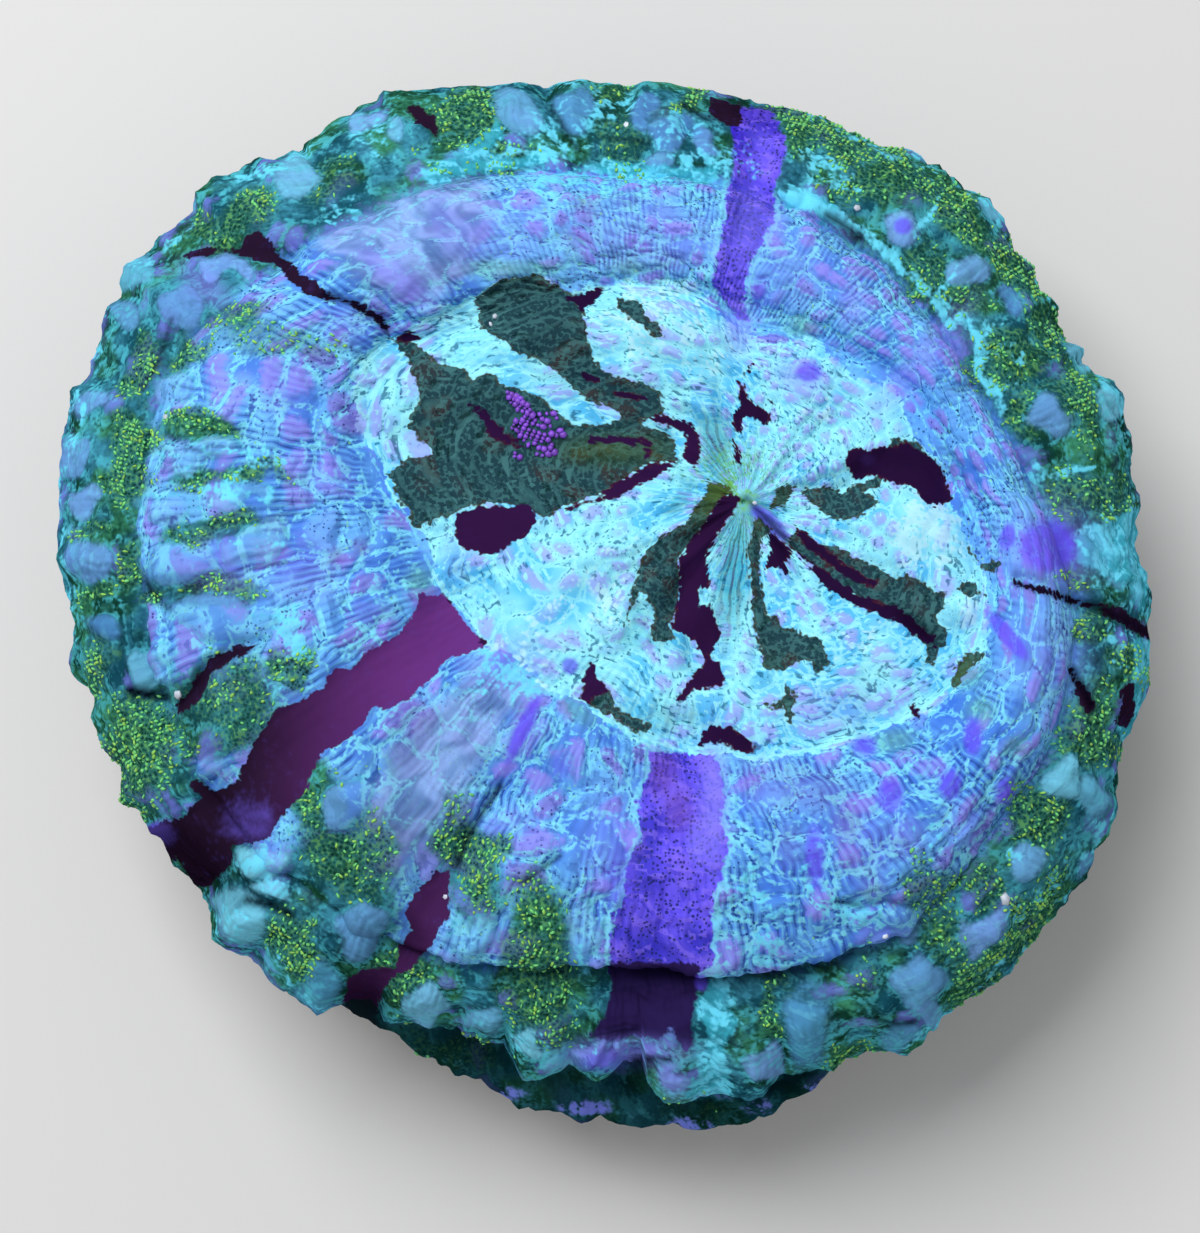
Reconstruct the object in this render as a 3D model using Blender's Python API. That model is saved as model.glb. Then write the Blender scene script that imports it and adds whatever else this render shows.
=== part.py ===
"""A solitary fleshy coral (Acanthophyllia): one polyp grown together with its stony base.

Run it with: blender --background --python part.py
The frame is in metres with +Z up. The origin is the centre of the flat cut under the base, and
-Y is the front.

The whole coral is one skin drawn through a stack of closed rings. The rings start in the mouth,
cross the oral disc and the swollen ring around it, drop over the crease to the knobbed skirt,
turn under at the lip and run down the stony base.
"""

import math

import bmesh
import bpy
import numpy as np

MM = 0.001

# Heights above the cut
CROWN_HEIGHT = 46.5 * MM
DISC_HEIGHT = 42.2 * MM
CREASE_HEIGHT = 40.2 * MM
FRONT_CREASE_DROP = 2.6 * MM
WANDER = 0.9 * MM
RIM_HEIGHT = 27.5 * MM
LOWER_TIER_HEIGHT = 17.5 * MM
LIP_HEIGHT = 11.0 * MM

# Places of the mouth and of the oral disc, which grew off centre
MOUTH = np.array([14.0, 10.8]) * MM
DISC_CENTRE = np.array([8.5, 9.0]) * MM
THROAT_RADIUS = 0.6 * MM
GULLET_RADIUS = 2.0 * MM
MOUTH_RADIUS = 4.5 * MM

# Outlines seen from above: radii in millimetres, one every 15 degrees, anticlockwise from +X
RIM_RADII = (56.0, 56.4, 55.5, 57.3, 56.9, 55.8, 56.3, 57.4, 57.9, 59.4, 59.0, 58.2,
             55.9, 53.7, 51.8, 50.2, 46.8, 44.8, 46.0, 50.0, 51.8, 54.2, 55.2, 55.7)
LOWER_TIER_RADII = (54.0, 54.4, 53.5, 55.3, 54.9, 53.8, 54.3, 55.4, 55.9, 57.2, 56.8, 56.2,
                    54.0, 52.0, 50.2, 48.8, 47.8, 48.9, 51.0, 53.6, 50.8, 52.0, 53.0, 53.7)
CREASE_RADII = (47.0, 45.0, 43.7, 44.5, 45.3, 45.2, 44.5, 46.1, 47.0, 48.6, 49.6, 48.0,
                45.5, 44.0, 42.5, 40.4, 38.8, 36.8, 35.6, 37.5, 40.5, 43.8, 44.6, 46.7)
DISC_RADII = (28.6, 26.0, 25.6, 23.2, 21.8, 21.2, 22.8, 24.4, 26.6, 29.4, 33.2, 33.6,
              28.4, 26.0, 24.8, 23.6, 22.0, 22.4, 23.6, 25.0, 26.6, 29.2, 31.2, 30.6)

# The stony base under the flesh
BASE_NECK_RADIUS = 40.0 * MM
BASE_FOOT_RADIUS = 36.0 * MM
COSTA_COUNT = 36
COSTA_DEPTH = 0.5 * MM

# Lobes that repeat round the coral
KNOB_COUNT = 37
KNOB_SWELL = 1.7 * MM
LOWER_LOBE_COUNT = 31
LOWER_LOBE_SWELL = 1.6 * MM
FINGER_COUNT = 26
FINGER_SWELL = 0.9 * MM
DISC_FURROW_COUNT = 14
DISC_FURROW_DEPTH = 0.5 * MM

# Bumps on the flesh: x, y, radius and height in millimetres
LUMPS = (
    (5.0, 28.5, 7.5, 1.7),      # pale dome behind the mouth
    (-7.0, 28.0, 6.5, 1.8),     # dark dome beside it
    (30.5, 8.0, 6.0, 1.5),      # palest lobe, right of the mouth
    (36.0, -0.5, 3.4, 1.2),
    (21.0, 22.0, 4.5, 1.0),
    (-2.0, 5.0, 7.0, 1.4),      # broad lobe left of the front valley
    (-8.0, -3.0, 7.0, 1.3),
    (23.0, -5.0, 8.0, 1.3),
    (-21.0, 20.0, 5.0, 1.0),
    (-21.5, 33.5, 4.5, 1.6),    # smooth fold at the back left
    (-18.0, 44.0, 5.0, 1.2),
    (-35.0, -25.5, 4.4, 2.2),   # pale lumps at the front left
    (-37.5, -31.0, 4.4, 1.8),
    (-24.5, -32.0, 4.6, 1.6),
    (-28.5, -37.5, 3.8, 1.8),
    (-26.5, -18.5, 4.4, 1.3),
    (-13.5, -33.5, 3.8, 1.6),
    (-45.0, -6.0, 3.8, 1.8),    # flap on the left
    (30.0, 38.5, 4.0, 1.5),
    (44.5, 19.0, 4.2, 1.4),
    (42.5, -26.0, 4.2, 1.4),
    (30.0, -38.0, 5.0, 1.4),
    (20.0, -42.0, 5.0, 1.2),
)

# Valleys and clefts: depth and half width in millimetres, then the line that they follow
VALLEYS = (
    (1.6, 3.6, ((-13.5, -0.5), (-22, -6.5), (-30, -12.5), (-37, -19), (-45, -26))),
    (1.6, 3.4, ((-22, 28), (-26, 31), (-30, 33), (-34.5, 36.5), (-40, 37), (-50, 40))),
    (1.1, 2.6, ((38.5, 3), (43, 1.5), (49, 0.5), (57, -3))),
    (1.7, 2.8, ((-10.5, -18), (-13.5, -23), (-16, -27), (-19, -31), (-22, -36), (-26, -44))),
    (1.5, 2.6, ((13.5, 11), (9.5, 5.5), (8.2, 0), (10, -5))),
    (1.4, 2.6, ((17.5, 7.5), (24, 3.6), (30, 0.6), (34, -2.6))),
    (1.4, 4.0, ((9, 15), (0, 14), (-10, 15), (-18, 17))),
    (1.0, 2.6, ((7, 18.5), (0, 21.5), (-5, 26))),
    (1.0, 2.4, ((17.5, 11.5), (23, 11), (28, 13.8), (33.5, 12.5))),
    (0.9, 2.2, ((14, 12), (13.5, 18), (14.2, 26), (14.5, 34), (15.5, 46))),
    (0.7, 3.8, ((8, -15), (6, -26), (4, -38))),
)

# How finely the skin is meshed
SPOKES = 150
INNER_SPOKES = 75
RINGS_FROM_MOUTH = 6


def smooth_loop(radii_mm, angles):
    """Radii in metres at any angles, from evenly spaced ones, by a closed smooth curve through them."""
    radii = np.array(radii_mm) * MM
    count = len(radii)
    place = np.asarray(angles) / (2 * math.pi) * count
    low = np.floor(place).astype(int)
    before, here, after, beyond = (radii[(low + step) % count] for step in (-1, 0, 1, 2))
    return curve_between(before, here, after, beyond, place - low)


def curve_between(before, here, after, beyond, share):
    """The smooth curve from here to after, which also heeds their neighbours (Catmull-Rom)."""
    return 0.5 * (
        2 * here
        + (after - before) * share
        + (2 * before - 5 * here + 4 * after - beyond) * share**2
        + (3 * here - before - 3 * after + beyond) * share**3
    )


def loop_about(centre, radii, angles, height):
    """A closed ring of points about a centre."""
    x = centre[0] + radii * np.cos(angles)
    y = centre[1] + radii * np.sin(angles)
    return np.stack([x, y, np.broadcast_to(height, angles.shape)], axis=-1)


def ring_between(inner, outer, share, height):
    """The ring a given share of the way out from one to another, at its own height."""
    ring = inner + (outer - inner) * share
    ring[:, 2] = height
    return ring


def facing(angles, towards, spread):
    """1 where the coral faces a given way, falling smoothly to 0 at spread degrees to either side."""
    turn = (np.degrees(angles) - towards + 180) % 360 - 180
    share = np.clip(1 - np.abs(turn) / spread, 0, 1)
    return share * share * (3 - 2 * share)


def key_rings(angles):
    """The rings that set the form, from the throat to the foot of the base."""
    axis = np.zeros(2)
    same = np.ones_like(angles)
    rim_radii = smooth_loop(RIM_RADII, angles)
    lower_radii = smooth_loop(LOWER_TIER_RADII, angles)
    crease_radii = smooth_loop(CREASE_RADII, angles)
    disc_radii = smooth_loop(DISC_RADII, angles)
    front = np.clip(facing(angles, 275, 55) + 0.45 * facing(angles, 190, 60), 0, 1)
    crease_height = CREASE_HEIGHT - FRONT_CREASE_DROP * front
    sag = WANDER * (np.sin(3 * angles + 0.8) + 0.7 * np.sin(5 * angles + 2.1))
    lips = loop_about(MOUTH, MOUTH_RADIUS * same, angles, DISC_HEIGHT - 2.8 * MM)
    groove = loop_about(DISC_CENTRE, disc_radii, angles, DISC_HEIGHT - 0.2 * MM)
    fringe = loop_about(axis, crease_radii - 0.4 * MM + 1.1 * MM * front, angles,
                        CREASE_HEIGHT + 0.9 * MM)
    crease = loop_about(axis, crease_radii - 0.9 * MM * front, angles, crease_height)
    rim = loop_about(axis, rim_radii, angles, RIM_HEIGHT + sag)
    tuck_radii = np.minimum(rim_radii, lower_radii) - 1.2 * MM - 1.2 * MM * front
    tuck_height = 0.5 * (RIM_HEIGHT + LOWER_TIER_HEIGHT) + 1.2 * sag
    under_radii = 0.25 * lower_radii + 0.75 * BASE_NECK_RADIUS + 2 * MM
    return np.array(
        [
            loop_about(MOUTH, THROAT_RADIUS * same, angles, DISC_HEIGHT - 8 * MM),
            loop_about(MOUTH, GULLET_RADIUS * same, angles, DISC_HEIGHT - 6 * MM),
            lips,
            ring_between(lips, groove, 0.40, DISC_HEIGHT - 0.9 * MM),
            ring_between(lips, groove, 0.78, DISC_HEIGHT + 0.2 * MM),
            groove,
            ring_between(groove, crease, 0.24, CROWN_HEIGHT - 1.3 * MM),
            ring_between(groove, crease, 0.54, CROWN_HEIGHT),
            ring_between(groove, crease, 0.82, CROWN_HEIGHT - 1.9 * MM),
            fringe,
            crease,
            loop_about(axis, crease_radii + 2.2 * MM, angles, crease_height - 0.3 * MM),
            ring_between(crease, rim, 0.66, CREASE_HEIGHT - 4.0 * MM - 0.5 * FRONT_CREASE_DROP * front),
            rim,
            loop_about(axis, tuck_radii, angles, tuck_height),
            loop_about(axis, lower_radii, angles, LOWER_TIER_HEIGHT + 0.8 * sag),
            loop_about(axis, lower_radii - 3.6 * MM, angles, LIP_HEIGHT),
            loop_about(axis, under_radii, angles, LIP_HEIGHT + 1.5 * MM),
            loop_about(axis, BASE_NECK_RADIUS * same, angles, LIP_HEIGHT - 1.0 * MM),
            loop_about(axis, (BASE_FOOT_RADIUS + 1.2 * MM) * same, angles, LIP_HEIGHT / 2),
            loop_about(axis, BASE_FOOT_RADIUS * same, angles, 0.0),
        ]
    )


# Where the named bands lie along the stack of key rings
LIPS, DISC_GROOVE, CROWN, CREASE, RIM = 2, 5, 7, 10, 13
TUCK, LOWER_TIER, LIP, NECK, FOOT = 14, 15, 16, 18, 20


def smooth_form(level, angles):
    """The ring of the smooth form at any level between two key rings."""
    keys = key_rings(angles)
    low = min(max(int(level), 0), FOOT - 1)
    before, here, after, beyond = (keys[min(max(low + step, 0), FOOT)] for step in (-1, 0, 1, 2))
    return curve_between(before, here, after, beyond, level - low)


def outward(level, angles):
    """The direction out of the smooth form at each point of a ring."""
    small = 0.02
    along = smooth_form(min(level + small, FOOT), angles) - smooth_form(max(level - small, 0), angles)
    around = smooth_form(level, angles + small) - smooth_form(level, angles - small)
    normals = np.cross(along, around)
    return normals / np.linalg.norm(normals, axis=1)[:, None]


def window(value, start, full, fade, end):
    """0 outside start to end, 1 from full to fade, and smooth between."""
    rise = np.clip((value - start) / (full - start), 0, 1)
    fall = np.clip((end - value) / (end - fade), 0, 1)
    share = np.minimum(rise, fall)
    return share * share * (3 - 2 * share)


def lobes(angles, count, seed):
    """Rounded lobes round the coral, 0 in the clefts to 1 on the lobes, of uneven width and height."""
    wander = 0.9 * np.sin(3 * angles + seed) + 0.7 * np.sin(7 * angles + 2.3 * seed)
    swell = np.abs(np.sin((count * angles + wander) / 2)) ** 0.8
    return swell * (0.72 + 0.28 * np.sin(5 * angles + 1.7 * seed) * np.sin(8 * angles + seed))


def distance_to_line(points, line):
    """How far points are, seen from above, from a line of straight runs."""
    nearest = np.full(len(points), np.inf)
    for start, end in zip(line[:-1], line[1:]):
        start = np.array(start) * MM
        run = np.array(end) * MM - start
        along = np.clip((points - start) @ run / (run @ run), 0, 1)
        nearest = np.minimum(nearest, np.linalg.norm(points - start - along[:, None] * run, axis=1))
    return nearest


def flesh_relief(points):
    """How far the flesh is raised by its lumps and lowered by its valleys, seen from above."""
    plan = points[:, :2]
    raised = np.zeros(len(points))
    for x, y, radius, height in LUMPS:
        away = np.linalg.norm(plan - np.array([x, y]) * MM, axis=1) / (radius * MM)
        raised += height * MM * np.exp(-2.2 * away**2)
    for depth, half_width, line in VALLEYS:
        away = distance_to_line(plan, line) / (half_width * MM)
        raised -= depth * MM * np.exp(-0.8 * away**3)
    return raised


def lobe_relief(level, angles):
    """The lobes and ribs that repeat round the coral, each on its own band."""
    knobs = window(level, CREASE + 0.7, RIM - 0.8, RIM + 0.3, TUCK)
    tier = window(level, TUCK, LOWER_TIER - 0.3, LOWER_TIER + 0.4, LIP + 0.6)
    fingers = window(level, CROWN - 0.3, CROWN + 1.0, CREASE - 1.0, CREASE)
    furrows = window(level, LIPS - 0.8, LIPS + 0.2, DISC_GROOVE - 2.0, DISC_GROOVE - 0.5)
    ribs = window(level, NECK - 0.5, NECK, FOOT, FOOT + 1.0)
    return (
        KNOB_SWELL * knobs * lobes(angles, KNOB_COUNT, 1.0)
        + LOWER_LOBE_SWELL * tier * lobes(angles, LOWER_LOBE_COUNT, 4.0)
        + FINGER_SWELL * fingers * (lobes(angles, FINGER_COUNT, 2.6) - 0.5)
        + DISC_FURROW_DEPTH * furrows * np.cos(DISC_FURROW_COUNT * angles + 0.6)
        + COSTA_DEPTH * ribs * np.cos(COSTA_COUNT * angles)
    )


def coral_ring(level, angles):
    """One ring of the finished surface: the smooth form with its lobes, lumps, clefts and ribs."""
    points = smooth_form(level, angles)
    direction = outward(level, angles)
    if level > NECK:
        direction[:, 2] = 0
    finished = points + direction * lobe_relief(level, angles)[:, None]
    soft = window(level, LIPS - 1.0, LIPS + 0.5, RIM - 1.0, RIM + 0.3)
    finished[:, 2] += soft * flesh_relief(points)
    return finished


def ring_levels():
    """Where along the stack the mesh has a ring: closer together where the form turns."""
    whole = np.arange(0, FOOT + 1)
    halves = np.concatenate([np.arange(LIPS, CREASE - 1), np.arange(CREASE + 1, LIP)]) + 0.5
    return np.sort(np.concatenate([whole, halves]))


def stitch(mesh, outer, inner):
    """Faces between two rings of vertices. Where outer has twice as many, each pair meets one of inner."""
    count = len(outer)
    step = count // len(inner)
    for i in range(0, count, step):
        here, there = inner[i // step], inner[(i // step + 1) % len(inner)]
        if step == 1:
            mesh.faces.new((here, outer[i], outer[(i + 1) % count], there))
        else:
            mesh.faces.new((here, outer[i], outer[i + 1]))
            mesh.faces.new((here, outer[i + 1], there))
            mesh.faces.new((there, outer[i + 1], outer[(i + 2) % count]))


def build_coral():
    """The coral as one closed mesh."""
    mesh = bmesh.new()
    previous = None
    for number, level in enumerate(ring_levels()):
        spokes = INNER_SPOKES if number < RINGS_FROM_MOUTH else SPOKES
        angles = np.arange(spokes) * 2 * math.pi / spokes
        ring = [mesh.verts.new(point) for point in coral_ring(level, angles)]
        if previous is None:
            mesh.faces.new(ring)
        else:
            stitch(mesh, ring, previous)
        previous = ring
    mesh.faces.new(previous[::-1])
    bmesh.ops.recalc_face_normals(mesh, faces=mesh.faces)
    data = bpy.data.meshes.new("coral")
    mesh.to_mesh(data)
    mesh.free()
    data.shade_smooth()
    return data


def flesh_material():
    """Wet, slightly glossy flesh, mostly pale blue."""
    material = bpy.data.materials.new("coral_flesh")
    material.use_nodes = True
    shader = material.node_tree.nodes["Principled BSDF"]
    shader.inputs["Base Color"].default_value = (0.22, 0.42, 0.72, 1.0)
    shader.inputs["Roughness"].default_value = 0.45
    shader.inputs["Metallic"].default_value = 0.0
    return material


def main():
    for old in list(bpy.data.objects):
        bpy.data.objects.remove(old)
    coral = bpy.data.objects.new("coral", build_coral())
    coral.data.materials.append(flesh_material())
    bpy.context.scene.collection.objects.link(coral)


main()
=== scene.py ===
"""The finish of a solitary fleshy coral: its skin in full relief, its colours and its small growths.

Lengths are in millimetres until a mesh is made. The plan of the coral is drawn as it is seen
looking down on the oral disc from the camera's place: x to the right, y to the back, with the
origin over the middle of the foot. Every point of the skin knows where it lies in that plan.
"""

import math

import bpy
import numpy as np
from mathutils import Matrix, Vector


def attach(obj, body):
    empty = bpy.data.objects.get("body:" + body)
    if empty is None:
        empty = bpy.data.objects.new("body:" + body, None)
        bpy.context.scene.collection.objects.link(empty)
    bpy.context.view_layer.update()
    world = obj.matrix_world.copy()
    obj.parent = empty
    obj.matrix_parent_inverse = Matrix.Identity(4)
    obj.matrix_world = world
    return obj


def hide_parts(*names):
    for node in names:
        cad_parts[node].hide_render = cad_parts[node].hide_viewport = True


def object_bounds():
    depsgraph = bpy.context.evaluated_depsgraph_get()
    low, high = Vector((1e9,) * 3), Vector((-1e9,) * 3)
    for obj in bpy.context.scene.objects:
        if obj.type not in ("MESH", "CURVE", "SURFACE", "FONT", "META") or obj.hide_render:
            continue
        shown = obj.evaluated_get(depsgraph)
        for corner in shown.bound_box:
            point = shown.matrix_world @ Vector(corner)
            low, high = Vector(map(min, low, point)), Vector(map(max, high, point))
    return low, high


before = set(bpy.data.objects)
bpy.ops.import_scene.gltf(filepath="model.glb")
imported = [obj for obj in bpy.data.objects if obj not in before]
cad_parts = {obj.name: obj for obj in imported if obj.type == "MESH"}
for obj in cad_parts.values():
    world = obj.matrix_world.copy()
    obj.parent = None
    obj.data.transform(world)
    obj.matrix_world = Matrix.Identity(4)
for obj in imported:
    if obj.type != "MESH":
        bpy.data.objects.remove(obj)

CAD_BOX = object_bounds()
NODE = "coral"
MM = 0.001

# ---------------- the view that the plan is drawn from

VIEW_PLANE = 42.0
VIEW_DISTANCE = 300.0
VIEW_TILT = math.radians(7)
FRAME_WIDTH = 120.0
FRAME_CENTRE = np.array([-0.5, -1.05])
FORWARD = np.array([0.0, math.sin(VIEW_TILT), -math.cos(VIEW_TILT)])
UPWARD = np.array([0.0, math.cos(VIEW_TILT), math.sin(VIEW_TILT)])
ACROSS = np.array([1.0, 0.0, 0.0])
EYE = np.array([FRAME_CENTRE[0], FRAME_CENTRE[1], VIEW_PLANE]) - VIEW_DISTANCE * FORWARD

# ---------------- the form

CROWN_HEIGHT = 46.2
DISC_HEIGHT = 42.2
CREASE_HEIGHT = 40.2
FRONT_CREASE_DROP = 2.6
WANDER = 0.9
RIM_HEIGHT = 27.5
LOWER_TIER_HEIGHT = 17.5
LIP_HEIGHT = 11.0

MOUTH = np.array([14.0, 10.8])
DISC_CENTRE = np.array([8.5, 9.0])
THROAT_RADIUS, THROAT_DEPTH = 0.15, 2.0
GULLET_RADIUS, GULLET_DEPTH = 0.7, 1.3
MOUTH_RADIUS, MOUTH_DEPTH = 3.6, 0.9
SHELF_DROP = 4.0
TUCK_INSET = 1.2
LIP_INSET = 3.6

# Outlines seen from above: radii, one every 15 degrees, anticlockwise from +X
RIM_RADII = (56.0, 56.4, 55.5, 57.3, 56.9, 55.8, 56.3, 57.4, 57.9, 59.4, 59.0, 58.2,
             55.9, 53.7, 51.8, 50.2, 46.8, 44.8, 46.0, 50.0, 51.8, 54.2, 55.2, 55.7)
LOWER_TIER_RADII = (54.0, 54.4, 53.5, 55.3, 54.9, 53.8, 54.3, 55.4, 55.9, 57.2, 56.8, 56.2,
                    54.0, 52.0, 50.2, 48.8, 47.8, 48.9, 51.0, 53.6, 50.8, 52.0, 53.0, 53.7)
CREASE_RADII = (47.0, 45.0, 43.7, 44.5, 45.3, 45.2, 44.5, 46.1, 47.0, 48.6, 49.6, 48.0,
                45.5, 44.0, 42.5, 40.4, 38.8, 36.5, 34.6, 37.0, 40.5, 43.8, 44.6, 46.7)
DISC_RADII = (28.6, 26.0, 25.6, 23.2, 21.8, 21.2, 22.8, 24.4, 26.6, 29.4, 33.2, 33.6,
              28.4, 26.0, 24.8, 23.6, 22.0, 22.4, 23.6, 25.0, 26.6, 29.2, 31.2, 30.6)

BASE_NECK_RADIUS = 40.0
BASE_FOOT_RADIUS = 36.0
BASE_FLARE = 1.2
COSTA_COUNT = 72
COSTA_DEPTH = 0.4

LOWER_LOBE_COUNT = 31
LOWER_LOBE_SWELL = 0.7
FRILL_COUNT = 88
FRILL_SWELL = 0.22
KNOB_COUNT = 37
KNOB_SWELL = 0.5
FINGER_COUNT = 26
FINGER_SWELL = 0.45
DISC_FURROW_COUNT = 14
DISC_FURROW_DEPTH = 0.35
RIB_COUNT = 180
RIB_SWELL = 0.07

# The quilted lobes of the disc, of the ring and of the skirt: how many to a turn, how long and how high
LOBE_COUNTS = (42, 64, 84)
LOBE_LENGTHS = (2.4, 3.3, 3.3)
LOBE_SWELLS = (0.75, 0.95, 1.10)
QUILT_JITTER = 0.75
QUILT_WARP = 0.9

# The middles that the flesh of the disc, of the ring and of the skirt spreads from
BAND_CENTRES = (MOUTH, np.array([6.0, 12.0]), np.zeros(2))
NARROW_REACH = 10.0

# The noise that sways the quilt, that swells the flesh and that roughens the stone
QUILT_SWAY_SIZE = 3.0
WAVE_SIZE, WAVE_SWELL = 6.0, 0.5
STONE_GRAIN_SIZE, STONE_GRAIN_SWELL = 1.6, 0.35

# The scalloped edge as it is seen from above, anticlockwise from the right
RIM_EDGE = (
    (54, 0), (53.7, 3), (52.6, 5.5), (53.2, 10.5), (52.5, 13), (52.8, 16), (51.7, 18.5), (51.5, 21),
    (50.5, 22.5), (49, 23), (47.8, 24), (47.7, 25.7), (46, 26.3), (44.9, 27.5), (45, 30.5), (43.5, 31.5),
    (42.5, 33.5), (41, 35), (39.3, 38.8), (38.5, 40.7), (35.8, 41.2), (34, 43.1), (32, 44), (30.5, 45.2),
    (28.5, 46), (26.5, 46.4), (24, 47.2), (22, 48.2), (20.5, 49.2), (18, 49.7), (15, 50.2), (13, 50.9),
    (9, 52), (5.5, 53.2), (2.5, 52.3), (0, 53), (-2, 53), (-6, 52.3), (-7.5, 52.8), (-11, 52.2),
    (-13.5, 52.4), (-17, 52.1), (-19, 51.8), (-22, 51.3), (-22.5, 50), (-25, 49.8), (-27, 48.2), (-30, 46),
    (-30.3, 44.6), (-33, 44), (-34.8, 44.6), (-36.5, 42.8), (-40, 41.4), (-41, 40.9), (-40.8, 38.8),
    (-42, 37.8), (-44, 36.4), (-45.5, 34.3), (-47.8, 33.6), (-48.2, 32), (-48, 31), (-49.5, 28.5),
    (-50.5, 25.5), (-51.5, 22.5), (-53.3, 20), (-53.3, 18), (-54, 15), (-54.6, 12), (-54.6, 9),
    (-54.9, 7.5), (-54.4, 4), (-53.6, 0), (-53.2, -3), (-53.4, -6), (-52, -8), (-51.3, -9.5), (-51, -11.5),
    (-50, -14.5), (-48.5, -16), (-48.3, -18), (-48, -19.5), (-46.5, -20.2), (-46, -21.5), (-44, -24.5),
    (-42.5, -26.5), (-40, -28.5), (-39.3, -31), (-39, -33), (-37.5, -34), (-35, -35), (-33.5, -37),
    (-32, -38.5), (-30.8, -38.8), (-28.5, -40), (-26.5, -39.8), (-25.5, -39.2), (-23.5, -39.2),
    (-21.8, -42), (-19, -41.4), (-16, -41.8), (-12, -43.5), (-10, -43.3), (-9.5, -45), (-8, -46.5),
    (-6.8, -47.5), (-5, -46.8), (-3.5, -45.5), (-1, -47.3), (0.5, -47), (2, -45.5), (3.8, -45.3),
    (4.5, -48), (6, -48.8), (8, -49.4), (9.5, -48.8), (12, -48.6), (14, -49.3), (16, -48.5), (17.5, -47),
    (20, -46.6), (23, -46), (25.5, -44.6), (30, -44.7), (32.5, -42.7), (33.2, -41.5), (35.5, -40),
    (37.5, -38.7), (39.5, -37.5), (42, -35), (43, -33), (44.5, -31.5), (45, -30), (46.5, -29), (48.7, -26),
    (48.8, -24.5), (50, -22.5), (50.8, -21), (51, -18), (51.2, -15), (52, -13.5), (53.3, -11),
    (54.2, -6.3), (54.2, -2),
)

# The edge of the lower frill, where it shows beyond the rim at the front
FRILL_EDGE = (
    (-26, -41.5), (-22, -41.5), (-20.5, -44), (-20, -45), (-15, -46), (-12, -47), (-10, -49.5),
    (-7.5, -49.7), (-4, -50), (-2, -51), (0, -50.8), (4, -51.3), (7, -51), (8, -52.5), (9, -53.2),
    (10.5, -52.3), (12, -51), (13.5, -50.5), (17, -51), (18, -49.5), (21, -49.4), (22, -48), (24, -46),
    (26, -45),
)

# Broad bumps on the flesh: x, y, radius and height
LUMPS = (
    (5.0, 28.5, 7.5, 1.6),      # pale dome behind the mouth
    (-7.0, 28.0, 6.5, 1.7),     # dark dome beside it
    (30.5, 8.0, 6.0, 1.5),      # palest lobe, right of the mouth
    (36.0, -0.5, 3.2, 1.2),
    (21.0, 22.0, 4.5, 1.0),
    (-2.0, 5.0, 7.0, 1.4),      # broad lobe left of the front valley
    (-8.0, -3.0, 7.0, 1.3),
    (23.0, -5.0, 8.0, 1.3),
    (-21.0, 20.0, 5.0, 1.0),
    (-21.5, 33.5, 4.5, 1.3),    # smooth fold at the back left
    (-18.0, 44.0, 5.0, 1.0),
)

# Broad valleys: depth and half width, then the line that they follow
VALLEYS = (
    (1.5, 3.6, ((-13.5, -0.5), (-22, -6.5), (-30, -12.5), (-37, -19), (-45, -26))),
    (1.3, 1.9, ((-22, 28), (-26, 30.7), (-30, 32.3), (-34.5, 36), (-40, 35.5), (-50, 38))),
    (1.7, 2.4, ((-10.5, -18), (-13.5, -23), (-16, -27), (-19, -31), (-22, -36), (-26, -44))),
    (1.5, 2.2, ((13.5, 11), (9.5, 5.5), (8.2, 0), (10, -5))),
    (1.4, 2.2, ((17.5, 7.5), (24, 3.6), (30, 0.6), (34, -2.6))),
    (1.4, 4, ((9, 15), (0, 14), (-10, 15), (-18, 17))),
    (1, 2.2, ((7, 18.5), (0, 21.5), (-5, 26))),
    (1, 2, ((17.5, 11.5), (23, 11), (28, 13.8), (33.5, 12.5))),
    (0.8, 2, ((14, 12), (13.5, 18), (14.2, 26), (14.5, 34), (15.5, 46))),
    (0.7, 3.6, ((8, -15), (6, -26), (4, -38))),
)

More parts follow.
